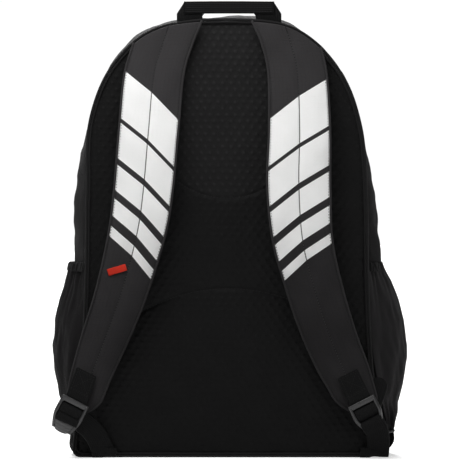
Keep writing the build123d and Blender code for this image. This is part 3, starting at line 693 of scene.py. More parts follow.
# ------------------------------------------------------------------ camera, light and floor
def studio():
    target = Vector((0.0035, -0.11, 0.2509))
    distance, lens = 4.2, 298.0
    camera = bpy.data.objects.new("camera", bpy.data.cameras.new("camera"))
    camera.data.lens, camera.data.sensor_width = lens, 36.0
    camera.location = target + Vector((0, -distance, 0))
    camera.rotation_euler = (math.radians(90), 0, 0)
    bpy.context.collection.objects.link(camera)
    bpy.context.scene.camera = camera
    world = bpy.data.worlds.new("studio")
    bpy.context.scene.world = world
    world.use_nodes = True
    nodes, links = world.node_tree.nodes, world.node_tree.links
    height = nodes.new("ShaderNodeSeparateXYZ")
    shift = nodes.new("ShaderNodeMath")
    shift.operation = "MULTIPLY_ADD"
    shift.inputs[1].default_value, shift.inputs[2].default_value = 0.5, 0.5
    ramp = nodes.new("ShaderNodeValToRGB")
    links.new(nodes.new("ShaderNodeTexCoord").outputs["Generated"], height.inputs[0])
    links.new(height.outputs[2], shift.inputs[0])
    links.new(shift.outputs[0], ramp.inputs[0])
    links.new(ramp.outputs[0], nodes["Background"].inputs[0])
    stops = ramp.color_ramp.elements
    stops[0].position, stops[0].color = 0.47, (0.05, 0.05, 0.05, 1)
    stops[1].position, stops[1].color = 1.0, (0.40, 0.40, 0.41, 1)
    for place, tone in ((0.49, 1.0), (0.56, 1.0), (0.61, 0.11), (0.8, 0.17)):
        stop = stops.new(place)
        stop.color = (tone, tone, tone, 1)
    nodes["Background"].inputs[1].default_value = 1.04
    key = bpy.data.objects.new("key", bpy.data.lights.new("key", "AREA"))
    key.data.shape, key.data.size, key.data.energy = "DISK", 0.62, 5.9
    key.location = (-0.17, -0.57, 0.97)
    key.rotation_euler = (Vector((0, -0.1, 0.30)) - key.location).to_track_quat("-Z", "Y").to_euler()
    bpy.context.collection.objects.link(key)
    suns = (("fill", (1.5, -1.6, 1.2), 50, 0.13), ("front", (-0.25, 2.0, 1.6), 16, 3.8))
    for name, place, angle, power in suns:
        lamp = bpy.data.objects.new(name, bpy.data.lights.new(name, "SUN"))
        lamp.data.angle, lamp.data.energy = math.radians(angle), power
        lamp.rotation_euler = (-Vector(place)).to_track_quat("-Z", "Y").to_euler()
        bpy.context.collection.objects.link(lamp)
    bpy.context.scene.view_settings.view_transform = "Standard"
    paper = Shader("floor", (0.88, 0.88, 0.88), 0.95, Specular_IOR_Level=0.0, Emission_Color=(1, 1, 1, 1),
                   Emission_Strength=0.5)
    far, level = 6e4, -0.4
    corners = [(-far, -far, level), (far, -far, level), (far, far, level), (-far, far, level)]
    floor = new_object("floor", corners, [(0, 1, 2, 3)], paper.mat)
    floor.visible_diffuse = False


studio()


# ------------------------------------------------------------------ back panel
def seam_distance(x, z):
    """Distance in mm to the nearest sewn channel, and how far outside the upper pad the point is."""
    upper = np.hypot(x, np.minimum(z - 374.0, 0)) - 88.0
    upper = np.where(z > 374.0, np.abs(x) - 88.0, upper)
    lower = np.hypot(x - 2.0, z + 6.0) - 192.0
    arch = np.where(z > 60, np.abs(lower), 99.0)
    return np.minimum(np.abs(upper), arch), upper


def hexagons(x, z, pitch=MESH_PITCH, row=MESH_ROW):
    """Height 0 to 1 of an embossed hexagon pattern."""
    best = np.full((2,) + np.shape(x), 1e9)
    for shift in (0.0, 0.5):
        column = np.round(x / pitch - shift)
        for step in (-1, 0, 1):
            rows = 2 * np.round((z / row - (1 if shift else 0)) / 2) + (1 if shift else 0)
            for lift in (-2, 0, 2):
                dx = x - (column + step + shift) * pitch
                dz = (z - (rows + lift) * row) * pitch / (row * 2 / math.sqrt(3))
                d = np.hypot(dx, dz)
                best[1] = np.where(d < best[0], best[0], np.minimum(best[1], d))
                best[0] = np.minimum(best[0], d)
    return smooth((best[1] - best[0]) / (pitch * 0.42))


def back_panel():
    rows, columns = 168, 112
    ring = outline(SEAM, 1600, 1.0)
    low, high = ring[:, 1].min(), ring[:, 1].max()
    t = np.linspace(0, 1, rows)
    heights = low + (high - low) * np.where(t < 0.9, t * 0.985 / 0.9, 1 - 0.015 * ((1 - t) / 0.1) ** 1.6)
    heights[0], heights[-1] = low, high - 0.02
    sides = []
    for s in (-1, 1):
        part = right_half(ring * (s, 1))
        widths = np.array([part[np.abs(part[:, 1] - h) < 2.2, 0].max(initial=0) for h in heights])
        widths = np.where(heights < 30, widths, np.interp(heights, part[:, 1], part[:, 0]))
        widths[-1] = widths[-2] * 0.6
        sides.append(widths)
    u = np.linspace(-1, 1, columns)
    widths = (sides[0] + sides[1]) / 2
    x = ((sides[1] - sides[0]) / 2)[:, None] + widths[:, None] * u[None, :]
    z = np.repeat(heights[:, None], columns, 1)
    near, _ = seam_distance(x, z)
    border = np.minimum(widths[:, None] * (1 - np.abs(u[None, :])), np.minimum(high - z, z - low))
    flat = np.stack([x, np.full_like(x, PAD_SEAM_Y), z], -1).reshape(-1, 3)
    uv = flat[:, [0, 2]]
    obj = new_object("back_panel_cover", flat, grid_faces(rows, columns), mat_mesh, uv)
    pins = (np.minimum(near, border) < 1.9).ravel().astype(float)
    pins[(border < 2.5).ravel()] = 1
    puffed = inflate(obj, pins, 14.0, 5.2, stiffness=8.0)
    if np.abs(puffed[:, 1] - PAD_SEAM_Y).max() < 1:
        rise = smooth(np.minimum(near, border).ravel() / 16.0) * 4.6
        puffed = flat + np.outer(rise, (0, -1, 0))
    lift = PAD_SEAM_Y - puffed[:, 1]
    puffed[:, 1] = PAD_SEAM_Y - np.abs(lift)
    set_coords(obj, puffed)
    subdivide(obj)
    p = coords(obj)
    near, _ = seam_distance(p[:, 0], p[:, 2])
    fade = smooth(near / 3.0)
    p[:, 1] -= 0.32 * hexagons(p[:, 0], p[:, 2]) * fade
    p[:, 1] += 0.5 * fbm(p, 34.0, 3.1)
    p[:, 1] += 1.2 * np.exp(-(near / 1.4) ** 2)
    set_coords(obj, p)
    solidify(obj, 0.9, 1.0 if obj.data.polygons[0].normal.y > 0 else -1.0)
    p = coords(obj)
    # painted shade: the mesh is painted darker everywhere outside the upper pad
    paint_shade(obj, smooth((seam_distance(p[:, 0], p[:, 2])[1] + 2) / 6))
    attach(obj, "pack")
    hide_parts("back_mesh_cover", "back_pad_upper", "back_pad_middle", "back_pad_lower")
    u_seam = [(88 * math.sin(a), 374 - 88 * math.cos(a)) for a in np.linspace(-1.5, 1.5, 60)]
    arch = [(2 + 192 * math.sin(a), -6 + 192 * math.cos(a)) for a in np.linspace(-0.88, 0.88, 80)]
    rows_of_thread = []
    for index, path in enumerate((u_seam, arch)):
        line = np.array([(a, PAD_SEAM_Y - 0.6, b) for a, b in path])
        rows_of_thread.append(stitches(f"channel_{index}", line, (0, -1, 0), mat_thread, 3.4, 2.2))
    thread = join("channel_stitches", rows_of_thread)
    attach(thread, "pack")


def piping():
    ring = outline(SEAM, 420, -0.6)
    line = np.column_stack([ring[:, 0], np.full(len(ring), SEAM_Y - 4.6), ring[:, 1]])
    line[:, 1] += 0.35 * fbm(line, 24.0, 1.7)
    cord = tube("back_piping_cord", line, 1.6, mat_piping, closed=True, sides=14)
    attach(cord, "pack")
    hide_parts("back_piping")
    inner = outline(SEAM, 420, 2.2)
    edge = np.column_stack([inner[:, 0], np.full(len(inner), SEAM_Y - 5.4), inner[:, 1]])
    tape = tube("back_seam_tape", edge, 1.0, mat_piping, closed=True, sides=10, flat=0.5)
    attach(tape, "pack")


# ------------------------------------------------------------------ bag shell
def shell_section(y, n, inset=0.0):
    """Outline of the gusset at depth y, on a parabola through the three sections."""
    ys = (SEAM_Y, WIDEST_Y, RIM_Y)
    rings = [outline(half, n, inset) for half in (SEAM, WIDEST, RIM)]
    ring = np.zeros_like(rings[0])
    for i in range(3):
        j, k = (i + 1) % 3, (i + 2) % 3
        ring += rings[i] * (y - ys[j]) * (y - ys[k]) / ((ys[i] - ys[j]) * (ys[i] - ys[k]))
    return ring


def shell():
    n, depth = 360, 46
    depths = np.linspace(SEAM_Y - 3.4, RIM_Y, depth)
    outer = np.stack([np.insert(shell_section(y, n), 1, y, axis=1) for y in depths])
    inner = np.stack([np.insert(shell_section(y, n, 3.0), 1, y, axis=1) for y in depths])
    centre = np.array([0, 0, CENTRE_Z])
    out = outer - centre
    out[..., 1] = 0
    out /= np.linalg.norm(out, axis=-1, keepdims=True)
    lower, behind = 1 - smooth(outer[..., 2] / 140), 1 - smooth((depths[:, None] + 10) / 60)
    sag = (6.2 + 4.9 * outer[..., 0] / 170) * lower * behind
    outer[..., 0] += sag
    inner[..., 0] += sag
    t = (depths - depths[0]) / (depths[-1] - depths[0])
    free = (np.sin(math.pi * t) ** 0.6)[:, None] * smooth((outer[..., 2] - 8) / 40)
    flat = outer.reshape(-1, 3) * (1, 0.45, 0.75)
    crease = fbm(flat, 42.0, 5.0).reshape(depth, n)
    fine = fbm(outer.reshape(-1, 3) * (1, 0.35, 1), 17.0, 9.0).reshape(depth, n)
    creased = out * (free * (2.0 * crease + 0.9 * fine))[..., None]
    outer, inner = outer + creased, inner + creased
    pull = np.exp(-((t * 151) / 7.0) ** 2)[:, None] + np.exp(-(((1 - t) * 151) / 7.0) ** 2)[:, None]
    outer, inner = outer - out * (1.1 * pull)[..., None], inner - out * (1.1 * pull)[..., None]
    run = lengths(outer[depth // 2])
    uv = np.stack([np.broadcast_to(run, (depth, n)), np.broadcast_to(depths[:, None], (depth, n))], -1)
    verts = np.vstack([outer.reshape(-1, 3), inner.reshape(-1, 3)])
    count = depth * n
    faces = grid_faces(depth, n, close_v=True) + grid_faces(depth, n, close_v=True, offset=count, flip=True)
    for row in (0, depth - 1):
        for j in range(n):
            a, b = row * n + j, row * n + (j + 1) % n
            faces.append((a, b, b + count, a + count) if row == 0 else (b, a, a + count, b + count))
    obj = fix_normals(new_object("bag_shell", verts, faces, mat_shell, np.vstack([uv.reshape(-1, 2)] * 2)))
    obj.data.materials.append(mat_lining)
    for face in obj.data.polygons:
        middle, facing = face.center, face.normal
        if facing.dot(Vector((middle.x, 0, middle.z - 0.24))) < 0:
            face.material_index = 1
    x, z = coords(obj)[:, 0], coords(obj)[:, 2]
    # painted shade: the shell is painted darker and duller near the ground, most at the right corner, and on
    # both sides, more on the right
    low = smooth((80 - z) / 38) * (0.94 + 0.26 * smooth((x - 120) / 30))
    paint_shade(obj, np.maximum(low, smooth((np.abs(x) - 110) / 40) * np.where(x > 0, 0.78, 0.55)))
    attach(obj, "pack")
    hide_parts("main_shell")
    for name, y in (("gusset_seam_back", SEAM_Y + 9), ("gusset_seam_front", RIM_Y - 6)):
        ring = shell_section(y, 500, 0.2)
        line = np.insert(ring, 1, y, axis=1)
        outs = line - centre
        outs[:, 1] = 0
        thread = stitches(name, line, outs, mat_thread, 3.4, 2.2, lift=0.2)
        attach(thread, "pack")


# ------------------------------------------------------------------ straps
def strap_axis(side, z):
    """Centre x, width and middle-layer y of a strap at heights z, with the rounded tip."""
    table = STRAP[side]
    tip_x, tip_z = STRAP_TIP[side]
    last_z, last_x, _ = table[-1]
    body = np.maximum(z, last_z)
    x, w = along(table, body, 1), along(table, body, 2)
    down = np.clip((last_z - z) / (last_z - tip_z), 0, 1)
    x = x + (tip_x - last_x) * down
    w = w * np.sqrt(np.maximum(1 - down ** 2, 0.0004))
    y = along(STRAP_SIDE, z, 1)
    return x, w, y


def strap_heights(side, rows):
    tip_z = STRAP_TIP[side][1]
    last_z = STRAP[side][-1][0]
    body = np.linspace(480, last_z, rows - 14, endpoint=False)
    turn = np.sin(np.linspace(0, math.pi / 2, 14))
    return np.concatenate([body, last_z - (last_z - tip_z) * turn])


def strap(side):
    sign = 1 if side == "left" else -1  # direction from the strap's outer edge to its inner edge, in X
    rows, half = 190, 25
    z = strap_heights(side, rows)
    x, w, y = strap_axis(side, z)
    run = np.concatenate([[0], np.cumsum(np.hypot(np.diff(z), np.diff(x)))])
    even = np.sin(np.linspace(-math.pi / 2, math.pi / 2, half - 6))
    s = np.sort(np.concatenate([even, (-0.1, -0.055, -0.022, 0.022, 0.055, 0.1)]))
    loop_s = np.concatenate([s, s[-2:0:-1]])
    face = np.concatenate([np.ones(half), -np.ones(half - 2)])
    m = len(loop_s)
    lobe = np.where(np.abs(loop_s) < 1, (1 - np.abs(loop_s) ** 3.2), 0)
    shrink = np.clip(w / w.max() * 1.6, 0.15, 1)
    points = np.zeros((rows, m, 3))
    points[..., 0] = x[:, None] + loop_s * w[:, None] / 2
    top_line = outline(SEAM, 1600, 0.2)
    top_line = top_line[top_line[:, 1] > 300]
    top_line = top_line[np.argsort(top_line[:, 0])]
    deep = z[:, None] + 0 * points[..., 0]
    for _ in range(3):
        drop = 480 - np.interp(points[..., 0], top_line[:, 0], top_line[:, 1])
        deep = z[:, None] - drop * (1 - smooth((480 - z) / 90))[:, None]
        table = STRAP[side]
        high = deep > table[-1][0]
        shaped = along(table, deep, 1) + loop_s * along(table, deep, 2) / 2
        points[..., 0] = np.where(high, shaped, points[..., 0])
    points[..., 2] = deep
    rise = np.where(face > 0, 1.8, 1.4) * lobe
    points[..., 1] = y[:, None] - face * rise * shrink[:, None] + 2.2 * (loop_s ** 2) * shrink[:, None]
    across = loop_s[None, :] * w[:, None] / 2 * sign
    uv = np.stack([np.where(face > 0, across, 200 + across), np.broadcast_to(run[:, None], (rows, m))], -1)
    uv[..., 1] = np.interp(-points[..., 2], -z, run)
    faces = grid_faces(rows, m, close_v=True) + end_caps(rows, m)
    obj = new_object(f"strap_{side}_padding", points.reshape(-1, 3), faces, mat_strap[side],
                     uv.reshape(-1, 2))
    fix_normals(obj, merge=False)
    centre = np.abs(loop_s) < 0.04
    edge = np.abs(loop_s) > 0.985
    pins = np.broadcast_to((centre | edge).astype(float), (rows, m)).copy()
    pins[-3:] = 1
    pins[:2] = 1
    swollen = inflate(obj, pins.ravel(), 30.0, 6.4, stiffness=8.0).reshape(rows, m, 3)
    if np.abs(swollen - points).max() < 0.5:
        swell = np.abs(np.sin(math.pi * loop_s)) ** 0.5 * np.where(face > 0, 4.4, 1.2)
        swollen = points.copy()
        swollen[..., 1] -= face * swell * shrink[:, None]
    swollen[..., 1] -= face * 1.7 * np.abs(np.sin(math.pi * loop_s)) ** 0.6 * shrink[:, None]
    wrinkle = fbm(swollen.reshape(-1, 3) * (1, 0.2, 0.55), 15.0, 4.0).reshape(rows, m)
    swollen[..., 1] += np.where(face > 0, 0.75, 0.25) * wrinkle
    set_coords(obj, swollen.reshape(-1, 3))
    obj.data.materials.append(mat_mesh)
    inner = points[..., 1] * 0 + (face < 0)
    for polygon in obj.data.polygons:
        flags = [inner.ravel()[v] for v in polygon.vertices]
        if sum(flags) > len(flags) / 2:
            polygon.material_index = 1
    subdivide(obj)
    # painted shade: the strap is painted darker towards its lower end, less on the left strap, which has more
    # light
    paint_shade(obj, 0.32 * smooth((350 - coords(obj)[:, 2]) / 150) * (0.6 if side == "left" else 1.0))
    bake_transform(obj)
    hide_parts(f"strap_pad_{side}", f"strap_lining_{side}", f"strap_yoke_{side}")

    edge_lines = []
    for k in (int(np.argmin(loop_s)), int(np.argmax(loop_s))):
        edge_lines.append(np.column_stack([swollen[:-6, k, 0], swollen[:-6, k, 1] - 0.3, swollen[:-6, k, 2]]))
    border = np.vstack([edge_lines[0], swollen[-6:-1, int(np.argmin(loop_s))], swollen[-1, 0:1],
                        swollen[-6:-1, int(np.argmax(loop_s))][::-1], edge_lines[1][::-1]])
    roll = tube(f"strap_{side}_edge_roll", resample(border, 420), 1.35, mat_strap_edge, sides=10)
    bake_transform(roll)

    middle = int(np.argmin(np.abs(s)))
    seam = swollen[4:-12, middle]
    thread = stitches(f"strap_{side}_centre_stitch", seam + (0, -0.15, 0), (0, -1, 0), mat_thread_light, 3.1,
                      2.0, 0.65)
    inset_rows = []
    for k in (2, half - 3):
        inset_rows.append(stitches(f"edge_row_{k}", swollen[4:-8, k] + (0, -0.1, 0), (0, -1, 0), mat_thread,
                                   3.1, 1.9))
    thread = join(f"strap_{side}_stitches", [thread] + inset_rows)
    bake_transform(thread)
    return swollen, z, x


# ------------------------------------------------------------------ webbing and buckles
def local(side, points):
    """Points given on a buckle (across, up, outward) from its top bar, as millimetre points."""
    (ox, oy, oz), tilt = BAR[side]
    c, s = math.cos(math.radians(tilt)), math.sin(math.radians(tilt))
    p = np.asarray(points, float)
    x = ox + p[..., 0] * c + p[..., 1] * s
    z = oz - p[..., 0] * s + p[..., 1] * c
    return np.stack([x, oy - p[..., 2], z], -1)


def bar_axes(side):
    """Directions across and up a buckle."""
    c, s = math.cos(math.radians(BAR[side][1])), math.sin(math.radians(BAR[side][1]))
    return np.array([c, 0, -s]), np.array([s, 0, c])


def local_box(side, x0, x1, y0, y1, z0, z1):
    """Eight corners on a buckle, low face first."""
    ring = [(x0, y0), (x0, y1), (x1, y1), (x1, y0)]
    return local(side, [(a, b, z0) for a, b in ring] + [(a, b, z1) for a, b in ring])


def buckle(side):
    """Ladder lock: flat top bar, curved rails, middle bar and a broad, ridged lower grip."""
    half = 15.9
    reach, reach_low = (1.0, 1.0) if side == "left" else (0.84, 0.6)
    parts = [rounded_bar("top", local_box(side, -half, half, -2.9, 2.9, 0.8, 4.0), mat_buckle, 1.0, 4)]
    parts.append(rounded_bar("inner_bar", local_box(side, -half + 2, half - 2, -1.4, 0.6, -2.7, -1.5),
                             mat_buckle, 0.7, 2))
    rail = [(1.5, 1.6), (-6, 2.0), (-12, 2.6), (-18, 2.5), (-26 * reach, 1.4), (-34 * reach, -0.8)]
    path = curve_through(rail, 26)
    for s in (-1, 1):
        verts, n = [], 12
        for i, (y, lift) in enumerate(path):
            t = i / (len(path) - 1)
            wide, deep = 1.6 + 0.5 * math.sin(math.pi * t), 2.6 + 0.6 * math.sin(math.pi * t)
            pull = 5.6 * max(0.0, t - 0.5) ** 1.35 * 2.2
            for a in np.linspace(0, 2 * math.pi, n, endpoint=False):
                ca, sa = math.cos(a), math.sin(a)
                sq = max(abs(ca), abs(sa)) ** 0.55
                verts.append((s * (half - 1.6 - pull) + wide * ca / sq, y, lift + deep * sa / sq))
        faces = grid_faces(len(path), n, close_v=True) + end_caps(len(path), n)
        parts.append(fix_normals(new_object("rail", local(side, verts), faces, mat_buckle)))
    parts.append(rounded_bar("middle", local_box(side, -14.2, 14.2, -12.6, -9.4, 0.0, 2.6), mat_buckle, 0.8))
    grip = curve_through([(-21.4, 3.2, 14.2), (-25, 3.0, 13.6), (-29.5, 1.9, 12.2), (-33.4, 0.2, 9.8),
                          (-36.4, -1.8, 6.4)], 20)
    verts, n = [], 18
    for i, (y, lift, w) in enumerate(grip):
        for u in np.linspace(-1, 1, n):
            ridge = 1.3 + 0.3 * math.sin(i * 1.5)
            verts.append((u * w, (y + 21.4) * reach_low - 21.4 + 0.9 * u * u, lift + ridge - 0.8 * u * u))
    count = len(verts)
    verts += [(a, b, c - 2.8) for a, b, c in verts]
    faces = grid_faces(len(grip), n) + grid_faces(len(grip), n, offset=count, flip=True)
    last = (len(grip) - 1) * n
    for j in range(n - 1):
        faces += [(j, j + 1, j + 1 + count, j + count),
                  (last + j, last + j + 1, last + j + 1 + count, last + j + count)]
    for i in range(len(grip) - 1):
        for j in (0, n - 1):
            faces.append((i * n + j, (i + 1) * n + j, (i + 1) * n + j + count, i * n + j + count))
    lip = fix_normals(new_object("grip", local(side, verts), faces, mat_buckle))
    parts.append(bevel(lip, 0.6, 2, angle=50))
    obj = join(f"ladder_lock_{side}_moulding", parts)
    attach(obj, f"buckle_{side}")
    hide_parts(f"ladder_lock_{side}")


def tab_lift(y):
    return -2.9 + 2.3 * float(smooth((16 - y) / 13))


def tab(side):
    """Webbing tab on the strap's end, looped behind the buckle's top bar, with a box-X of stitches."""
    name = f"strap_{side}"
    lean = -0.12 if side == "left" else 0.02
    front = [(0, y, tab_lift(y)) for y in np.linspace(36, 0, 26)]
    round_bar = [(0, -2.2, -0.5), (0, -3.3, -1.8), (0, -3.2, -3.4), (0, -1.5, -4.3)]
    path = front + round_bar + [(0, y, -4.9) for y in (4, 12, 22, 30)]
    line = resample(local(side, curve_through(path, 160)), 90)
    taper = np.ones(len(line))
    taper[:3] = (0.88, 0.96, 0.99)
    across, up = bar_axes(side)
    outs = np.cross(across, np.gradient(line, axis=0))
    outs *= np.sign(-outs[3, 1])
    web = ribbon(f"strap_{side}_tab_webbing", line, outs, WEB_WIDTH, 1.8, mat_webbing, taper)
    p = coords(web)
    set_coords(web, p + np.outer(lean * np.maximum((p - BAR[side][0]) @ up - 4, 0), across))
    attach(web, name)
    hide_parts(f"strap_tab_{side}")
    a, b, c, d = (-9.6, 34), (9.6, 34), (9.6, 13), (-9.6, 13)
    rows = []
    lower_row = ((-9.6, 11.6), (9.6, 11.6))
    for index, (p, q) in enumerate(((a, b), (b, c), (c, d), (d, a), (a, c), (b, d), lower_row)):
        ends = np.linspace(p, q, 12)
        pts = [(u + lean * (v - 4), v, tab_lift(v) + 0.95) for u, v in ends]
        rows.append(stitches(f"box_{index}", local(side, pts), (0, -1, 0), mat_thread, 2.4, 1.8, 0.6))
    thread = join(f"strap_{side}_tab_stitches", rows)
    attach(thread, name)


def adjusting_webbing(side):
    """Webbing through the buckle: up behind it, over the middle bar and down again."""
    roll = [(0, -30, -4.4), (0, -20, -4.2), (0, -10, -3.8), (0, -5.2, -3.2), (0, -3.6, -1.2),
            (0, -4.2, 1.3), (0, -6.8, 3.5), (0, -10.6, 4.7), (0, -14.4, 4.1), (0, -17.4, 1.8),
            (0, -18.8, -0.8), (0, -22, -2.2), (0, -27, -2.8)]
    across, _ = bar_axes(side)
    pieces = []
    if side == "right":
        tail = [(0, -15.6, -3.0), (0, -17.6, -1.0), (0, -19.4, 2.4), (0, -22, 4.9), (0, -26, 6.2),
                (0.5, -30, 6.4), (0.9, -33.4, 6.0)]
    else:
        tail = [(0.4, -13.4, -3.0), (0.6, -14.8, -0.6), (0.8, -15.6, 2.8), (1.0, -17.2, 5.4),
                (1.2, -20.6, 6.6), (1.4, -24.2, 6.2)]
    for path in (roll, tail):
        world = local(side, curve_through(path, 90))
        outs = np.cross(np.gradient(world, axis=0), across)
        if np.dot(outs[0], (0, 1, 0)) < 0:
            outs = -outs
        pieces.append(ribbon("webbing", world, outs, WEB_WIDTH + 0.2, 1.6, mat_webbing))
    web = join(f"buckle_{side}_webbing", pieces)
    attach(web, f"buckle_{side}")
    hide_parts(f"webbing_tail_{side}")


def lower_webbing(side):
    """Webbing from the bottom seam up behind the buckle, with its loose end beside it."""
    name = f"strap_{side}"
    if side == "left":
        path = [(-135.5, -106.5, 0.8), (-137.5, -108, 9), (-143, -112, 22), (-151, -118, 33),
                (-162, -126.5, 43), (-171, -132, 57)]
        tail = [(-166, -127, 50), (-160, -122.5, 48), (-152.5, -117.5, 45.5), (-143.5, -112.5, 43.5)]
    else:
        path = [(166, -106.5, 0.8), (167, -108.5, 9), (167, -112.5, 20), (164.5, -118, 32),
                (159, -124.5, 44), (153, -131, 57)]
        tail = [(158, -124, 55), (162, -119, 66), (166, -114.5, 77), (169.5, -111.5, 88)]
    line = curve_through(path, 60)
    facing = (0.12 if side == "left" else -0.1, -1, 0.3)
    web = ribbon(f"lower_webbing_{side}_strip", line, facing, WEB_WIDTH, 1.7, mat_webbing)
    p = coords(web)
    p[:, 2] = np.maximum(p[:, 2], 0.3)
    set_coords(web, p)
    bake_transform(web)
    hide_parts(f"lower_webbing_{side}", f"webbing_anchor_{side}")
    line = curve_through(tail, 40)
    t = np.linspace(0, 1, 40)
    taper = np.where(t > 0.72, np.sqrt(np.clip(1 - ((t - 0.72) / 0.285) ** 2, 0.02, 1)), 1)
    end = ribbon(f"webbing_end_{side}", line, (0.1, -1, 0.05), 21.0, 1.8, mat_webbing, taper)
    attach(end, name)
    # folded wrap where the webbing enters the bottom seam
    fold_x = path[0][0] - (6 if side == "right" else 0)
    wrap_path = [(fold_x, -104.6, 1.4), (fold_x, -106.9, 2.4), (fold_x + 0.4, -107.9, 6.0),
                 (fold_x + 0.6, -107.2, 10.5)]
    line = curve_through(wrap_path, 24)
    wrap = ribbon(f"webbing_wrap_{side}", line, (0, -1, 0.2), WEB_WIDTH + 1.5, 2.0, mat_webbing)
    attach(wrap, "pack")


def accent(surface):
    """Plain red woven tab sewn across the lower part of the left strap."""
    swollen, z, x = surface
    row = int(np.argmin(np.abs(z - 208)))
    centre = np.array([x[row] - 12, 0, z[row]])
    near = np.argmin(np.abs(swollen[row, :25, 0] - centre[0]))
    centre[1] = swollen[row, near, 1] - 0.9
    line = np.array([centre + (u, 0.012 * u * u, 0.30 * u) for u in np.linspace(-10, 10, 16)])
    obj = ribbon("accent_tab_weave", line, (0, -1, 0), 7.5, 1.0, mat_red)
    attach(obj, "strap_left")
    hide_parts("accent_tab")


# ------------------------------------------------------------------ grab handle
def handle():
    """Webbing handle: two upright legs, folded corners and a doubled bar."""
    y, cx = -88.0, 2.5
    outer, inner, top, bar = 58.0, 29.5, 504.2, 13.6
    pieces = []
    for s in (-1, 1):
        profile = [(inner, 473.5), (outer, 473.5), (outer, top - 13.5), (outer - 8.5, top - 0.4),
                   (inner - 6, top - 0.4), (inner - 2, top - bar + 0.2), (inner, top - bar - 2.5)]
        corners = [(cx + s * a, b) for a, b in profile]
        front = [(a, y - 1.5, b) for a, b in corners]
        back = [(a, y + 0.1, b) for a, b in corners]
        n = len(corners)
        faces = [tuple(range(n)), tuple(range(2 * n - 1, n - 1, -1))]
        faces += [(i, (i + 1) % n, n + (i + 1) % n, n + i) for i in range(n)]
        uv = [(a - cx, b) for a, b in corners] * 2
        leg = fix_normals(new_object("leg", front + back, faces, mat_webbing, uv))
        pieces.append(bevel(leg, 0.5, 2))
    xs = np.linspace(-50, 50, 40)
    line = np.stack([cx + xs, y - 2.4 + 0.25 * np.cos(xs / 15), top - bar / 2 + 0.35 * np.cos(xs / 30)], -1)
    pieces.append(ribbon("bar", line, (0, -1, 0), bar, 1.9, mat_webbing))
    line = line + (0, 3.2, 0)
    pieces.append(ribbon("bar_back", line, (0, 1, 0), bar, 1.6, mat_webbing))
    for z in (top - 2.6, top - 6.5, top - bar + 2.4):
        row = np.array([(cx + a, y - 3.45, z) for a in np.linspace(-46, 46, 30)])
        pieces.append(stitches("bar_thread", row, (0, -1, 0), mat_thread, 2.8, 1.9))
    obj = join("grab_handle_webbing", pieces)
    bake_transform(obj)
    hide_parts("grab_handle")


# ------------------------------------------------------------------ side pockets
POCKET_PROFILE = [(24, 172), (32, 174.5), (46, 178), (58, 183), (66, 186), (75, 188), (95, 191.5),
                  (122, 193.5), (150, 191), (172, 186.5), (194, 180.5), (206, 176.5), (216, 174.5)]
RIGHT_FULLER = [(24, 8), (32, 10), (46, 10), (58, 4.5), (66, 4.5), (78, 6), (95, 7), (108, 8), (127, 6),
                (150, 5), (172, 3), (194, 0.5), (206, -2.5), (216, -3.4)]
# both tables: height, then how far out the pocket stands; the second is added on the right
POCKET_BACK, POCKET_FRONT = -92.5, 55.0


def pocket_point(side, a, z):
    """Point of a side pocket's cloth: a runs 0 to 1 from its back edge to its front edge."""
    half = np.interp(z, *np.array(POCKET_PROFILE, float).T)
    back, front = np.interp(z, (26, 60, 120, 210), (168, 164.5, 159.5, 156.2)), 150.6
    if side > 0:
        half = half + np.interp(z, *np.array(RIGHT_FULLER, float).T)
        back = back + 11 * (1 - smooth(z / 140))
    else:
        back = back - 3.5 * smooth((z - 130) / 60)
    t, rise = 2 * a - 1, half - (back + front) / 2
    x = back * (1 - a) + front * a + rise * (1 - np.abs(t) ** 2.6)
    slope = front - back - rise * 5.2 * np.sign(t) * np.abs(t) ** 1.6
    deep = POCKET_FRONT - POCKET_BACK
    long = np.hypot(deep, slope)
    return (np.stack([side * x, POCKET_BACK + deep * a + 0 * x, z + 0 * x], -1),
            np.stack([side * deep / long, -slope / long, 0 * x], -1))


def gather(a, z, seed):
    """Ripple of the cloth under the elastic, dying out downwards, and tucks rising from the bottom seam."""
    top, low = np.exp(-(206 - z) / 26), np.exp(-(z - 28) / 30)
    fine = np.sin(a * 118 + 1.3 * np.sin(a * 23 + seed)) * (0.7 + 0.3 * np.sin(a * 41 + seed))
    tucks = np.abs(np.sin(a * 19 + seed + 0.004 * z)) ** 3
    return 1.3 * top * fine - 3.2 * low * tucks


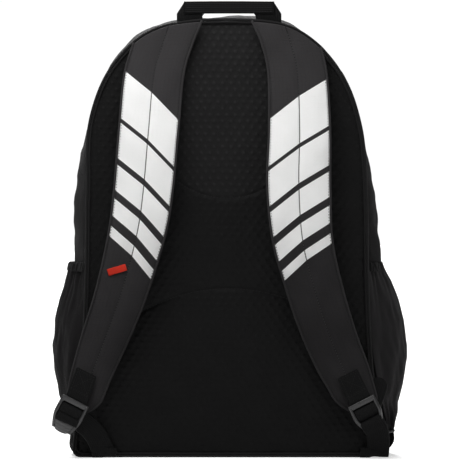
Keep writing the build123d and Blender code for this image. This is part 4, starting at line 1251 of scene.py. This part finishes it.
def side_pocket(name, side, seed):
    nu, nv = 150, 90
    a = np.linspace(0.0, 1.0, nu)[:, None] + np.zeros(nv)
    z = np.linspace(26, 207, nv)[None, :] + np.zeros((nu, 1))
    points, out = pocket_point(side, a, z)
    flat = np.stack([a * 180, z * 0.45, z * 0 + seed], -1).reshape(-1, 3)
    soft = fbm(flat, 30.0, seed).reshape(nu, nv) * 2.1 + fbm(flat * 2.2, 30.0, seed + 4).reshape(nu, nv) * 0.8
    edge = smooth(np.minimum(a, 1 - a) / 0.06)
    points += out * ((gather(a, z, seed) + soft) * edge)[..., None]
    uv = np.stack([a * 180, z], -1)
    cloth = new_object(f"side_pocket_{name}_cloth", points.reshape(-1, 3), grid_faces(nu, nv), mat_shell,
                       uv.reshape(-1, 2))
    fix_normals(solidify(cloth, 1.6))
    # painted shade: the pocket is painted darker near the ground, and the left pocket a little darker all
    # over
    paint_shade_low(cloth, 64, 34, 0.45 if side < 0 else 0.0)
    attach(cloth, "pack")
    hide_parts(f"side_pocket_{name}")

    bow = np.linspace(-math.pi / 2, math.pi * 1.5, 15)[:-1]
    nu, a = 300, np.linspace(0.0, 1.0, 300)
    verts, uv = [], []
    for k, angle in enumerate(bow):
        z = 210.2 + 5.4 * np.sign(math.sin(angle)) * abs(math.sin(angle)) ** 0.6 + 0 * a
        p, out = pocket_point(side, a, z)
        swing = 0.8 * gather(a, 206 + 0 * a, seed) + 0.9 + 1.5 * math.cos(angle) + 0.35 * np.sin(a * 236 + k)
        verts.append(p + out * (swing * smooth(np.minimum(a, 1 - a) / 0.03))[:, None])
        uv.append(np.stack([a * 180, 0 * a + k * 1.6], -1))
    verts, uv = np.stack(verts, 1), np.stack(uv, 1)
    m = len(bow)
    faces = grid_faces(nu, m, close_v=True) + end_caps(nu, m)
    hem = fix_normals(new_object(f"pocket_hem_{name}_elastic", verts.reshape(-1, 3), faces, mat_elastic,
                                 uv.reshape(-1, 2)))
    rows = [hem]
    for z in (206.6, 213.6):
        p, out = pocket_point(side, np.linspace(0.03, 0.97, 120), np.full(120, z))
        lift = 0.8 * gather(np.linspace(0.03, 0.97, 120), np.full(120, 206.0), seed) + 2.2
        rows.append(stitches("hem_thread", p + out * lift[:, None], out, mat_thread, 3.0, 2.0))
    hem = join(f"pocket_hem_{name}_elastic", rows)
    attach(hem, "pack")
    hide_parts(f"pocket_hem_{name}")

    p, out = pocket_point(side, np.linspace(0, 1, 90), np.full(90, 27.0))
    cord = tube(f"pocket_seam_{name}", p + out * 0.6, 1.5, mat_piping, sides=8)
    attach(cord, "pack")


# ------------------------------------------------------------------ front panel and flap
def lining_thickness(obj, thickness, lining=True):
    """Give an open sheet its thickness, with the lining on the side that faces the bag's middle."""
    obj.data.materials.append(mat_lining if lining else obj.data.materials[0])
    fix_normals(solidify(obj, thickness))
    for face in obj.data.polygons:
        face.material_index = 1 if lining and face.normal.y < -0.5 else 0
    return obj


def front_panel():
    right = right_half(outline(RIM, 1200))
    rows, columns = 110, 90
    t = np.linspace(0, 1, rows)
    z = 3.2 + (289.2 - 3.2) * (0.5 * t + 0.5 * smooth(t))
    half = np.interp(z, right[:, 1], right[:, 0])
    u = np.sin(np.linspace(-math.pi / 2, math.pi / 2, columns))
    x = half[:, None] * u[None, :]
    zz = np.repeat(z[:, None], columns, 1)
    edge = np.minimum(half[:, None] - np.abs(x), zz - 3.2)
    y = RIM_Y + 0.4 + 9.4 * np.sqrt(np.clip(1 - (1 - np.clip(edge / 12, 0, 1)) ** 2, 0, 1))
    flat = np.stack([x, zz * 0, zz], -1).reshape(-1, 3)
    creases = 1.3 * fbm(flat, 52.0, 2.0) + 0.35 * fbm(flat, 18.0, 2.5)
    y += smooth(edge / 24) * (1.6 + creases.reshape(rows, columns)) * smooth((264 - zz) / 30)
    points = np.stack([x, y, zz], -1).reshape(-1, 3)
    obj = new_object("front_panel_cover", points, grid_faces(rows, columns), mat_shell, points[:, [0, 2]])
    lining_thickness(obj, 2.2)
    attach(obj, "pack")
    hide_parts("front_panel")
    side = right[right[:, 1] < 288]
    path = np.vstack([np.column_stack([-side[::-1, 0], side[::-1, 1]]), side])
    line = np.insert(resample(path, 300), 1, RIM_Y + 0.6, axis=1)
    cord = tube("front_rim_piping", line, 2.0, mat_piping, sides=10, out=(0, 1, 0))
    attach(cord, "pack")


def arch(radius, y, angle):
    """Points on the main zip's arch; angle in radians from its left foot over the top."""
    return np.stack([-radius * np.cos(angle), y + 0 * angle, ARCH_Z + radius * np.sin(angle)], -1)


FOOT = math.asin(FOLD / ARCH_R)


def arch_band(name, profile, material, n=240):
    """Band round the arch with a closed (radius, y) profile."""
    angle = np.linspace(FOOT, math.pi - FOOT, n)
    verts = np.stack([arch(r + 0 * angle, y + 0 * angle, angle) for r, y in profile], 1)
    length = np.concatenate([[0], np.cumsum(np.hypot(*np.diff(np.array(profile), axis=0).T))])
    uv = np.stack(np.broadcast_arrays(length[None, :], (angle * ARCH_R)[:, None]), -1)
    m = len(profile)
    faces = grid_faces(n, m, close_v=True) + end_caps(n, m)
    return fix_normals(new_object(name, verts.reshape(-1, 3), faces, material, uv.reshape(-1, 2)))


TOOTH = [(-0.55, 0), (0.55, 0), (0.75, 0.55), (0.55, 1), (-0.55, 1), (-0.75, 0.55)]


def teeth(name, origins, along, across, up):
    """Moulded teeth: six-sided blocks with a head, one at each origin."""
    verts, faces = [], []
    for o, a, c, u in zip(origins, along, across, up):
        base = len(verts)
        for level, size in ((-1.1, 1.0), (0.8, 1.0), (1.15, 0.7)):
            verts += [o + a * p * 1.1 * size + c * (1.1 + (q * 2.4 - 1.1) * size) + u * level
                      for p, q in TOOTH]
        for low in (base, base + 6):
            faces += [(low + i, low + (i + 1) % 6, low + 6 + (i + 1) % 6, low + 6 + i) for i in range(6)]
        faces += [tuple(base + 5 - i for i in range(6)), tuple(base + 12 + i for i in range(6))]
    return new_object(name, verts, faces, mat_teeth, shade=False)


def main_zip():
    for name, body, s in (("body", "pack", -1), ("flap", "flap", 1)):
        mid = PANEL_Y
        near, far = mid + s * 1.9, (RIM_Y - 2.5 if s < 0 else 77.4)
        low, high = sorted((near, far))
        section = [(149.5, low), (150.5, low + 0.4), (150.5, high - 0.4), (149.5, high),
                   (148.9, high), (148.9, low)]
        tape = arch_band(f"main_zip_tape_{name}_weave", section, mat_tape)
        angle = np.linspace(FOOT, math.pi - FOOT, 300)
        outs = arch(1, 0, angle) - (0, 0, ARCH_Z)
        row = stitches("row", arch(150.5, mid + s * 5.2, angle), outs, mat_thread, 3.2, 2.1)
        tape = join(tape.name, [tape, row])
        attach(tape, body)
        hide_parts(f"main_zip_tape_{name}")
        pitch = 3.1 / ARCH_R
        spots = np.arange(FOOT + pitch * (1 if s < 0 else 1.5), math.pi - FOOT - pitch * 0.6, pitch)
        up = arch(1, 0, spots) - (0, 0, ARCH_Z)
        along = np.stack([np.sin(spots), 0 * spots, np.cos(spots)], -1)
        across = np.broadcast_to((0.0, -float(s), 0.0), up.shape)
        obj = teeth(f"main_zip_teeth_{name}_row", arch(150.6, mid + s * 2.0, spots), along, across, up)
        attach(obj, body)
        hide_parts(f"main_zip_teeth_{name}")
    rows = []
    for s in (-1, 1):
        for k in range(6):
            z = ARCH_Z - 6 + k * 0.9
            line = np.array([(s * (ARCH_R + 1.6), PANEL_Y - 7.5 + t, z) for t in np.linspace(0, 7, 6)])
            rows.append(stitches("tack", line, (s, 0, 0), mat_thread, 1.6, 1.7, 0.5))
    tack = join("main_zip_bar_tacks", rows)
    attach(tack, "pack")
    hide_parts("main_zip_stops")


class Place:
    """Local frame: origin, x along the zip, y across it, z away from it."""

    def __init__(self, origin, x, z):
        self.o, self.x, self.z = (np.array(v, float) for v in (origin, x, z))
        self.y = np.cross(self.z, self.x)

    def __call__(self, points):
        p = np.asarray(points, float)
        return self.o + p[..., 0:1] * self.x + p[..., 1:2] * self.y + p[..., 2:3] * self.z


def slider(name, node, body, place, s):
    """Zip slider: waisted plate with side flanges, and a bridge that holds the pull."""
    plate = [(-6, -3.6), (-2, -5), (3.5, -5), (6, -2.6), (6, 2.6), (3.5, 5), (-2, 5), (-6, 3.6)]
    layers = ((1, 1, 0.0), (1, 1, 1.0), (0.86, 0.82, 1.7))
    verts = [(a * s * long, b * wide, level) for long, wide, level in layers for a, b in plate]
    faces = [tuple(range(7, -1, -1)), tuple(range(16, 24))]
    for ring in (0, 8):
        faces += [(ring + i, ring + (i + 1) % 8, ring + 8 + (i + 1) % 8, ring + 8 + i) for i in range(8)]
    parts = [fix_normals(new_object("plate", place(verts), faces, mat_slider, shade=False))]
    bridge = [(-4.6, 0, 1.2), (-4.0, 0, 3.2), (-1.5, 0, 4.3), (1.5, 0, 4.3), (4.0, 0, 3.4), (4.6, 0, 1.2)]
    parts.append(tube("bridge", place(curve_through(bridge, 24)), 1.0, mat_slider, sides=8,
                      out=tuple(place.y)))
    for w in (-4.3, 4.3):
        flange = curve_through([(-4.6, w * 0.8, 0.9), (-1, w, 0.9), (4.4, w * 0.86, 0.9)], 12)
        parts.append(tube("flange", place(flange), 1.05, mat_slider, sides=8, out=tuple(place.z)))
    obj = join(name, parts)
    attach(obj, body)
    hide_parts(node)


def pull(name, node, body, place, s):
    """Zip pull: wire loop through the bridge and a moulded ribbed tongue."""
    wire = [(0.6, 0, 2.2), (0.4, 1.6, 1.4), (3, 2.2, 1.2), (8, 1.9, 1.2),
            (9.5, 0, 1.2), (8, -1.9, 1.2), (3, -2.2, 1.2), (0.4, -1.6, 1.4)]
    loop = curve_through([(a * s, b, c) for a, b, c in wire], 40, closed=True)
    ring = tube("ring", place(loop), 0.55, mat_slider, closed=True, sides=8, out=tuple(place.z))
    n, m, verts = 46, 14, []
    for i in range(n):
        t = i / (n - 1)
        tip, root = max(0, (t - 0.93) / 0.07), max(0, (0.05 - t) / 0.05)
        end = math.sqrt(max(0.02, 1 - tip ** 2)) * math.sqrt(max(0.05, 1 - root ** 2))
        wide = (2.1 + 0.6 * smooth(t / 0.5)) * end
        thick = (1.15 + (0.25 * math.sin(t * 60) if 0.4 < t < 0.9 else 0.0)) * min(1, end + 0.15)
        for j in range(m):
            angle = 2 * math.pi * j / m
            ca, sa = math.cos(angle), math.sin(angle)
            k = max(abs(ca), abs(sa)) ** 0.45
            verts.append(((6.5 + 23.3 * t) * s, wide * ca / k, 1.2 + thick * sa / k))
    faces = grid_faces(n, m, close_v=True) + end_caps(n, m)
    tongue = fix_normals(new_object("tongue", place(verts), faces, mat_pull))
    obj = join(name, [tongue, ring])
    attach(obj, body)
    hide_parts(node)


def sliders():
    for s, name in ((-1, "left"), (1, "right")):
        lean = s * 7 / ARCH_R
        out = np.array([math.sin(lean), 0, math.cos(lean)])
        along = np.array([math.cos(lean), 0, -math.sin(lean)])
        seat = np.array([0, PANEL_Y, ARCH_Z])
        slider(f"main_slider_{name}_body", f"main_slider_{name}", f"slider_{name}",
               Place(seat + out * 151.9, along, out), s)
        pull(f"main_pull_{name}_tongue", f"main_pull_{name}", f"pull_{name}",
             Place(seat + out * 153.8 + along * s * 6.3, along, out), s)
    slider("pocket_slider_body", "pocket_slider", "pocket_slider",
           Place((-98, 110.2, POCKET_ZIP_Z), (1, 0, 0), (0, 1, 0)), 1)
    pull("pocket_pull_tongue", "pocket_pull", "pocket_pull",
         Place((-96.5, 115.3, POCKET_ZIP_Z), (0, 0, 1), (0, 1, 0)), -1)


FLAP_SEAM_R = 128.0         # the stitched line inside the flap's edge


def flap():
    rings, n = 46, 150
    angle = np.linspace(FOOT, math.pi - FOOT, n)
    radius = ARCH_R * np.sin(np.linspace(0, math.pi / 2, rings)) ** 0.8
    radius[0] = 0.05
    r, a = np.meshgrid(radius, angle, indexing="ij")
    x, z = -r * np.cos(a), ARCH_Z + np.maximum(r * np.sin(a), FOLD + 0.2)
    edge = np.minimum(ARCH_R - r, z - ARCH_Z)
    y = 76.2 + 5.2 * np.sqrt(np.clip(1 - (1 - np.clip((ARCH_R - r) / 9, 0, 1)) ** 2, 0, 1))
    points = np.stack([x, y, z], -1).reshape(-1, 3)
    faces = grid_faces(rings, n)
    obj = new_object("top_flap_cover", points, faces, mat_shell, points[:, [0, 2]])
    seam = np.abs(r - FLAP_SEAM_R) < 2.4
    pins = (seam | (r > 147) | (z < ARCH_Z + 5)).ravel().astype(float)
    puffed = inflate(obj, pins, 12.0, 3.6, stiffness=8.0)
    if np.abs(puffed[:, 1] - points[:, 1]).max() < 0.5:
        off_seam = np.minimum(np.abs(r - FLAP_SEAM_R), z - ARCH_Z - 2).ravel()
        puffed = points + np.outer(smooth(off_seam / 16) * 3.0, (0, 1, 0))
    creases = 0.9 * fbm(points, 45.0, 8.0) + 0.3 * fbm(points, 15.0, 8.5)
    puffed[:, 1] = np.minimum(puffed[:, 1], 86.4) + smooth(edge.ravel() / 20) * creases
    set_coords(obj, puffed)
    lining_thickness(obj, 2.0)
    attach(obj, "flap")
    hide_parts("top_flap")
    edges = arch(ARCH_R - 0.4, 76.6, np.linspace(FOOT, math.pi - FOOT, 260))
    cord = tube("flap_piping", edges, 1.9, mat_piping, sides=10, out=(0, 1, 0))
    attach(cord, "flap")
    ys = puffed[:, 1].reshape(rings, n)
    k = int(np.argmin(np.abs(radius - FLAP_SEAM_R)))
    row = np.stack([x[k], ys[k] + 1.0, z[k]], -1)
    thread = stitches("flap_stitches", row, (0, 1, 0), mat_thread_light, 3.3, 2.2)
    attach(thread, "flap")
    xs = np.linspace(-146, 146, 90)
    fold = np.stack([xs, 70.6 + 0 * xs, ARCH_Z + 4.4 + 0.2 * np.sin(xs / 9)], -1)
    binding = tube("flap_fold_binding", fold, 2.3, mat_webbing, sides=12, flat=2.1, out=(0, 1, 0))
    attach(binding, "flap")
    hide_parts("flap_fold")
    rows, cols = 16, 80
    zs = np.linspace(281, 298, rows)
    xx, zz = np.meshgrid(np.linspace(-149.4, 149.4, cols), zs, indexing="xy")
    yy = 67.8 + 0.25 * np.sin(xx / 7) + 3.2 * smooth((zz - 288) / 8)
    strip = np.stack([xx, yy, zz], -1).reshape(-1, 3)
    hinge = new_object("flap_hinge_strip", strip, grid_faces(rows, cols), mat_shell, strip[:, [0, 2]])
    lining_thickness(hinge, 1.2, lining=False)
    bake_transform(hinge)


# ------------------------------------------------------------------ front pocket
FRONT_W, FRONT_H, FRONT_MID, FRONT_Y = 260, 232, 146, 110.0     # outline, its middle height, and the face
POCKET_ZIP_Z = 238


def rounded_ring(width, height, radius, mid_z, n):
    """Rounded rectangle in x and z, n points from the middle of its top."""
    w, h = width / 2, height / 2
    radius = min(radius, w - 0.1, h - 0.1)
    line = [(0, h)]
    a, b = w - radius, h - radius
    for cx, cz, start in ((a, b, 90), (a, -b, 0), (-a, -b, -90), (-a, b, 180)):
        turn = np.radians(np.linspace(start, start - 90, 12))
        line += list(zip(cx + radius * np.cos(turn), cz + radius * np.sin(turn)))
    line = resample(np.array(line), n, closed=True)
    return line + (0, mid_z)


def front_pocket():
    n = 220
    steps = [(0.0, 66.2), (0.0, 74), (-0.6, 82), (-0.6, 90), (0.0, 97), (1.2, 101.5), (3.6, 105.6),
             (7.4, 108.2), (11, 109.4)]     # inset and y
    steps += [(d, FRONT_Y) for d in np.linspace(15, 113, 34)]

    def corner(d):
        return max(40 - d, 40 - 0.35 * d if d > 20 else 4)

    rings = [np.insert(rounded_ring(FRONT_W - 2 * d, FRONT_H - 2 * d, corner(d), FRONT_MID, n), 1, y, axis=1)
             for d, y in steps]
    points = np.array(rings).reshape(-1, 3)
    points = np.vstack([points, [(0, FRONT_Y, FRONT_MID)]])
    last = (len(rings) - 1) * n
    faces = grid_faces(len(rings), n, close_v=True)
    faces += [(last + i, last + (i + 1) % n, len(points) - 1) for i in range(n)]
    obj = new_object("front_pocket_cover", points, faces, mat_shell,
                     points[:, [0, 2]] + np.outer(points[:, 1] - FRONT_Y, (0.7, 0.7)))
    fix_normals(obj, merge=False)
    inset = np.append(np.repeat([d for d, _ in steps], n), 116.0)
    channel = (np.abs(points[:, 2] - POCKET_ZIP_Z) < 8.0) & (np.abs(points[:, 0]) < 114)
    seam = np.abs(inset - 3.6) < 0.5
    pins = (channel | seam | (points[:, 1] < 68)).astype(float)
    puffed = inflate(obj, pins, 9.0, 4.6, stiffness=10.0)
    face = smooth((inset - 4) / 30)
    away = smooth((np.abs(points[:, 2] - POCKET_ZIP_Z) - 8) / 22)
    if np.abs(puffed - points).max() < 0.5:
        puffed = points + np.outer(face * away * 3.2, (0, 1, 0))
    creases = 1.5 * fbm(points * (1, 1, 0.7), 46.0, 6.0) + 0.35 * fbm(points * (1, 1, 0.5), 16.0, 7.0)
    puffed[:, 1] += face * away * creases
    set_coords(obj, puffed)
    subdivide(obj)
    p = coords(obj)
    slot = smooth((115 - np.abs(p[:, 0])) / 4) * smooth((8.4 - np.abs(p[:, 2] - POCKET_ZIP_Z)) / 2.4)
    slot = slot * (p[:, 1] > 104)
    p[:, 1] = np.where(slot > 0, p[:, 1] * (1 - slot) + slot * 106.6, p[:, 1])
    p[:, 1] = np.minimum(p[:, 1], 115.0)
    set_coords(obj, p)
    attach(obj, "pack")
    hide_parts("front_pocket")
    ring = np.insert(rounded_ring(FRONT_W - 5.5, FRONT_H - 5.5, 37, FRONT_MID, 400), 1, 105.8, axis=1)
    cord = tube("pocket_piping", ring, 1.9, mat_piping, closed=True, sides=10, out=(0, 1, 0))
    base = np.insert(rounded_ring(FRONT_W + 2.5, FRONT_H + 2.5, 41, FRONT_MID, 400), 1, 67.0, axis=1)
    foot = tube("pocket_base_seam", base, 1.6, mat_piping, closed=True, sides=8, out=(0, 1, 0))
    seam_rows = join("front_pocket_piping", [cord, foot])
    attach(seam_rows, "pack")
    tapes, rows = [], []
    for s in (-1, 1):
        line = np.array([(t, 107.4, POCKET_ZIP_Z + s * 4.9) for t in np.linspace(-109.5, 109.5, 60)])
        tapes.append(ribbon("tape", line, (0, 1, 0), 6.4, 0.9, mat_tape))
        thread = np.array([(t, 108.0, POCKET_ZIP_Z + s * 6.6) for t in np.linspace(-109, 109, 60)])
        tapes.append(stitches("tape_thread", thread, (0, 1, 0), mat_thread, 3.2, 2.1))
        spots = np.arange(-108 + (0.775 if s > 0 else 0), 108, 3.1)
        origins = np.stack([spots, 108.6 + 0 * spots, POCKET_ZIP_Z + s * 2.0 + 0 * spots], -1)
        same = np.ones((len(spots), 1))
        rows.append(teeth("teeth", origins, same * (1.0, 0, 0), same * (0.0, 0, -s), same * (0.0, 1, 0)))
    tape = join("pocket_zip_tape_weave", tapes)
    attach(tape, "pack")
    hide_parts("pocket_zip_tape")
    row = join("pocket_zip_teeth_row", rows)
    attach(row, "pack")
    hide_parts("pocket_zip_teeth")


# ------------------------------------------------------------------ base, divider and inside pieces
def base():
    n = 200
    steps = [(0, 3.0), (-0.3, 2.2), (0.2, 1.2), (1.4, 0.35), (3.2, 0.0)]     # inset and height
    steps += [(d, 0.0) for d in np.linspace(8, 70, 22)]
    rings = []
    for d, z in steps:
        ring = rounded_ring(286 - 2 * d, 146 - 2 * d, max(24 - d, 3), 0, n)
        rings.append(np.column_stack([ring[:, 0], ring[:, 1] - 16, np.full(n, z)]))
    points = np.array(rings).reshape(-1, 3)
    groove = np.exp(-((np.abs(points[:, 0]) % 44 - 22) / 1.6) ** 2) * (points[:, 2] < 0.4)
    points[:, 2] += 0.8 * groove
    faces = grid_faces(len(rings), n, close_v=True)
    faces += [tuple(range((len(rings) - 1) * n, len(rings) * n)), tuple(range(n))]
    obj = fix_normals(new_object("base_panel_cover", points, faces, mat_base, points[:, [0, 1]]))
    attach(obj, "pack")
    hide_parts("base_panel")


def divider():
    right = right_half(outline(WIDEST, 900, 12.0))
    rows, columns = 120, 90
    z = np.linspace(13.5, 329.5, rows)
    half = np.minimum(np.interp(z, right[:, 1], right[:, 0]), 159)
    x = half[:, None] * np.linspace(-1, 1, columns)[None, :]
    zz = np.repeat(z[:, None], columns, 1)
    flat = np.stack([x, 0 * x, zz], -1).reshape(-1, 3)
    quilt = np.abs(np.sin(math.pi * (x + 20) / 40)) ** 0.5 * smooth((329 - zz) / 12) * smooth((zz - 14) / 12)
    puff = (1.4 * quilt).ravel()
    faces = grid_faces(rows, columns)
    count = rows * columns
    front, back = np.outer(puff, (0, 1, 0)) + (0, -50.6, 0), np.outer(puff * -0.4, (0, 1, 0)) + (0, -53.0, 0)
    verts = np.vstack([flat + front, flat + back])
    faces = faces + [tuple(i + count for i in f[::-1]) for f in faces]
    border = [i * columns for i in range(rows)] + [(rows - 1) * columns + j for j in range(1, columns)]
    border += [i * columns + columns - 1 for i in range(rows - 2, -1, -1)] + list(range(columns - 2, 0, -1))
    faces += [(a, b, b + count, a + count) for a, b in zip(border, border[1:] + border[:1])]
    obj = fix_normals(new_object("racket_divider_pad", verts, faces, mat_lining,
                                 np.vstack([flat[:, [0, 2]]] * 2)))
    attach(obj, "pack")
    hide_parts("racket_divider")
    xs = np.linspace(-147, 147, 120)
    line = np.stack([xs, -52 + 0 * xs, 329.6 + 0.3 * np.sin(xs / 11)], -1)
    binding = tube("divider_binding_tape", line, 3.0, mat_webbing, sides=12, flat=0.85, out=(0, 0, 1))
    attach(binding, "pack")
    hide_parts("divider_binding")
    anchors = []
    for s in (-1, 1):
        line = np.array([(2.5 + s * 43, -88.2, z) for z in np.linspace(452, 470, 12)])
        anchors.append(ribbon("anchor", line, (0, 1, 0), 25, 1.5, mat_webbing))
    obj = join("handle_anchor_webbing", anchors)
    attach(obj, "pack")
    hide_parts("handle_anchors")


back_panel()
piping()
shell()
front_panel()
main_zip()
sliders()
flap()
front_pocket()
base()
divider()
side_pocket("left", -1, 1.7)
side_pocket("right", 1, 5.3)
surfaces = {side: strap(side) for side in ("left", "right")}
for side in ("left", "right"):
    tab(side)
    buckle(side)
    adjusting_webbing(side)
    lower_webbing(side)
accent(surfaces["left"])
handle()
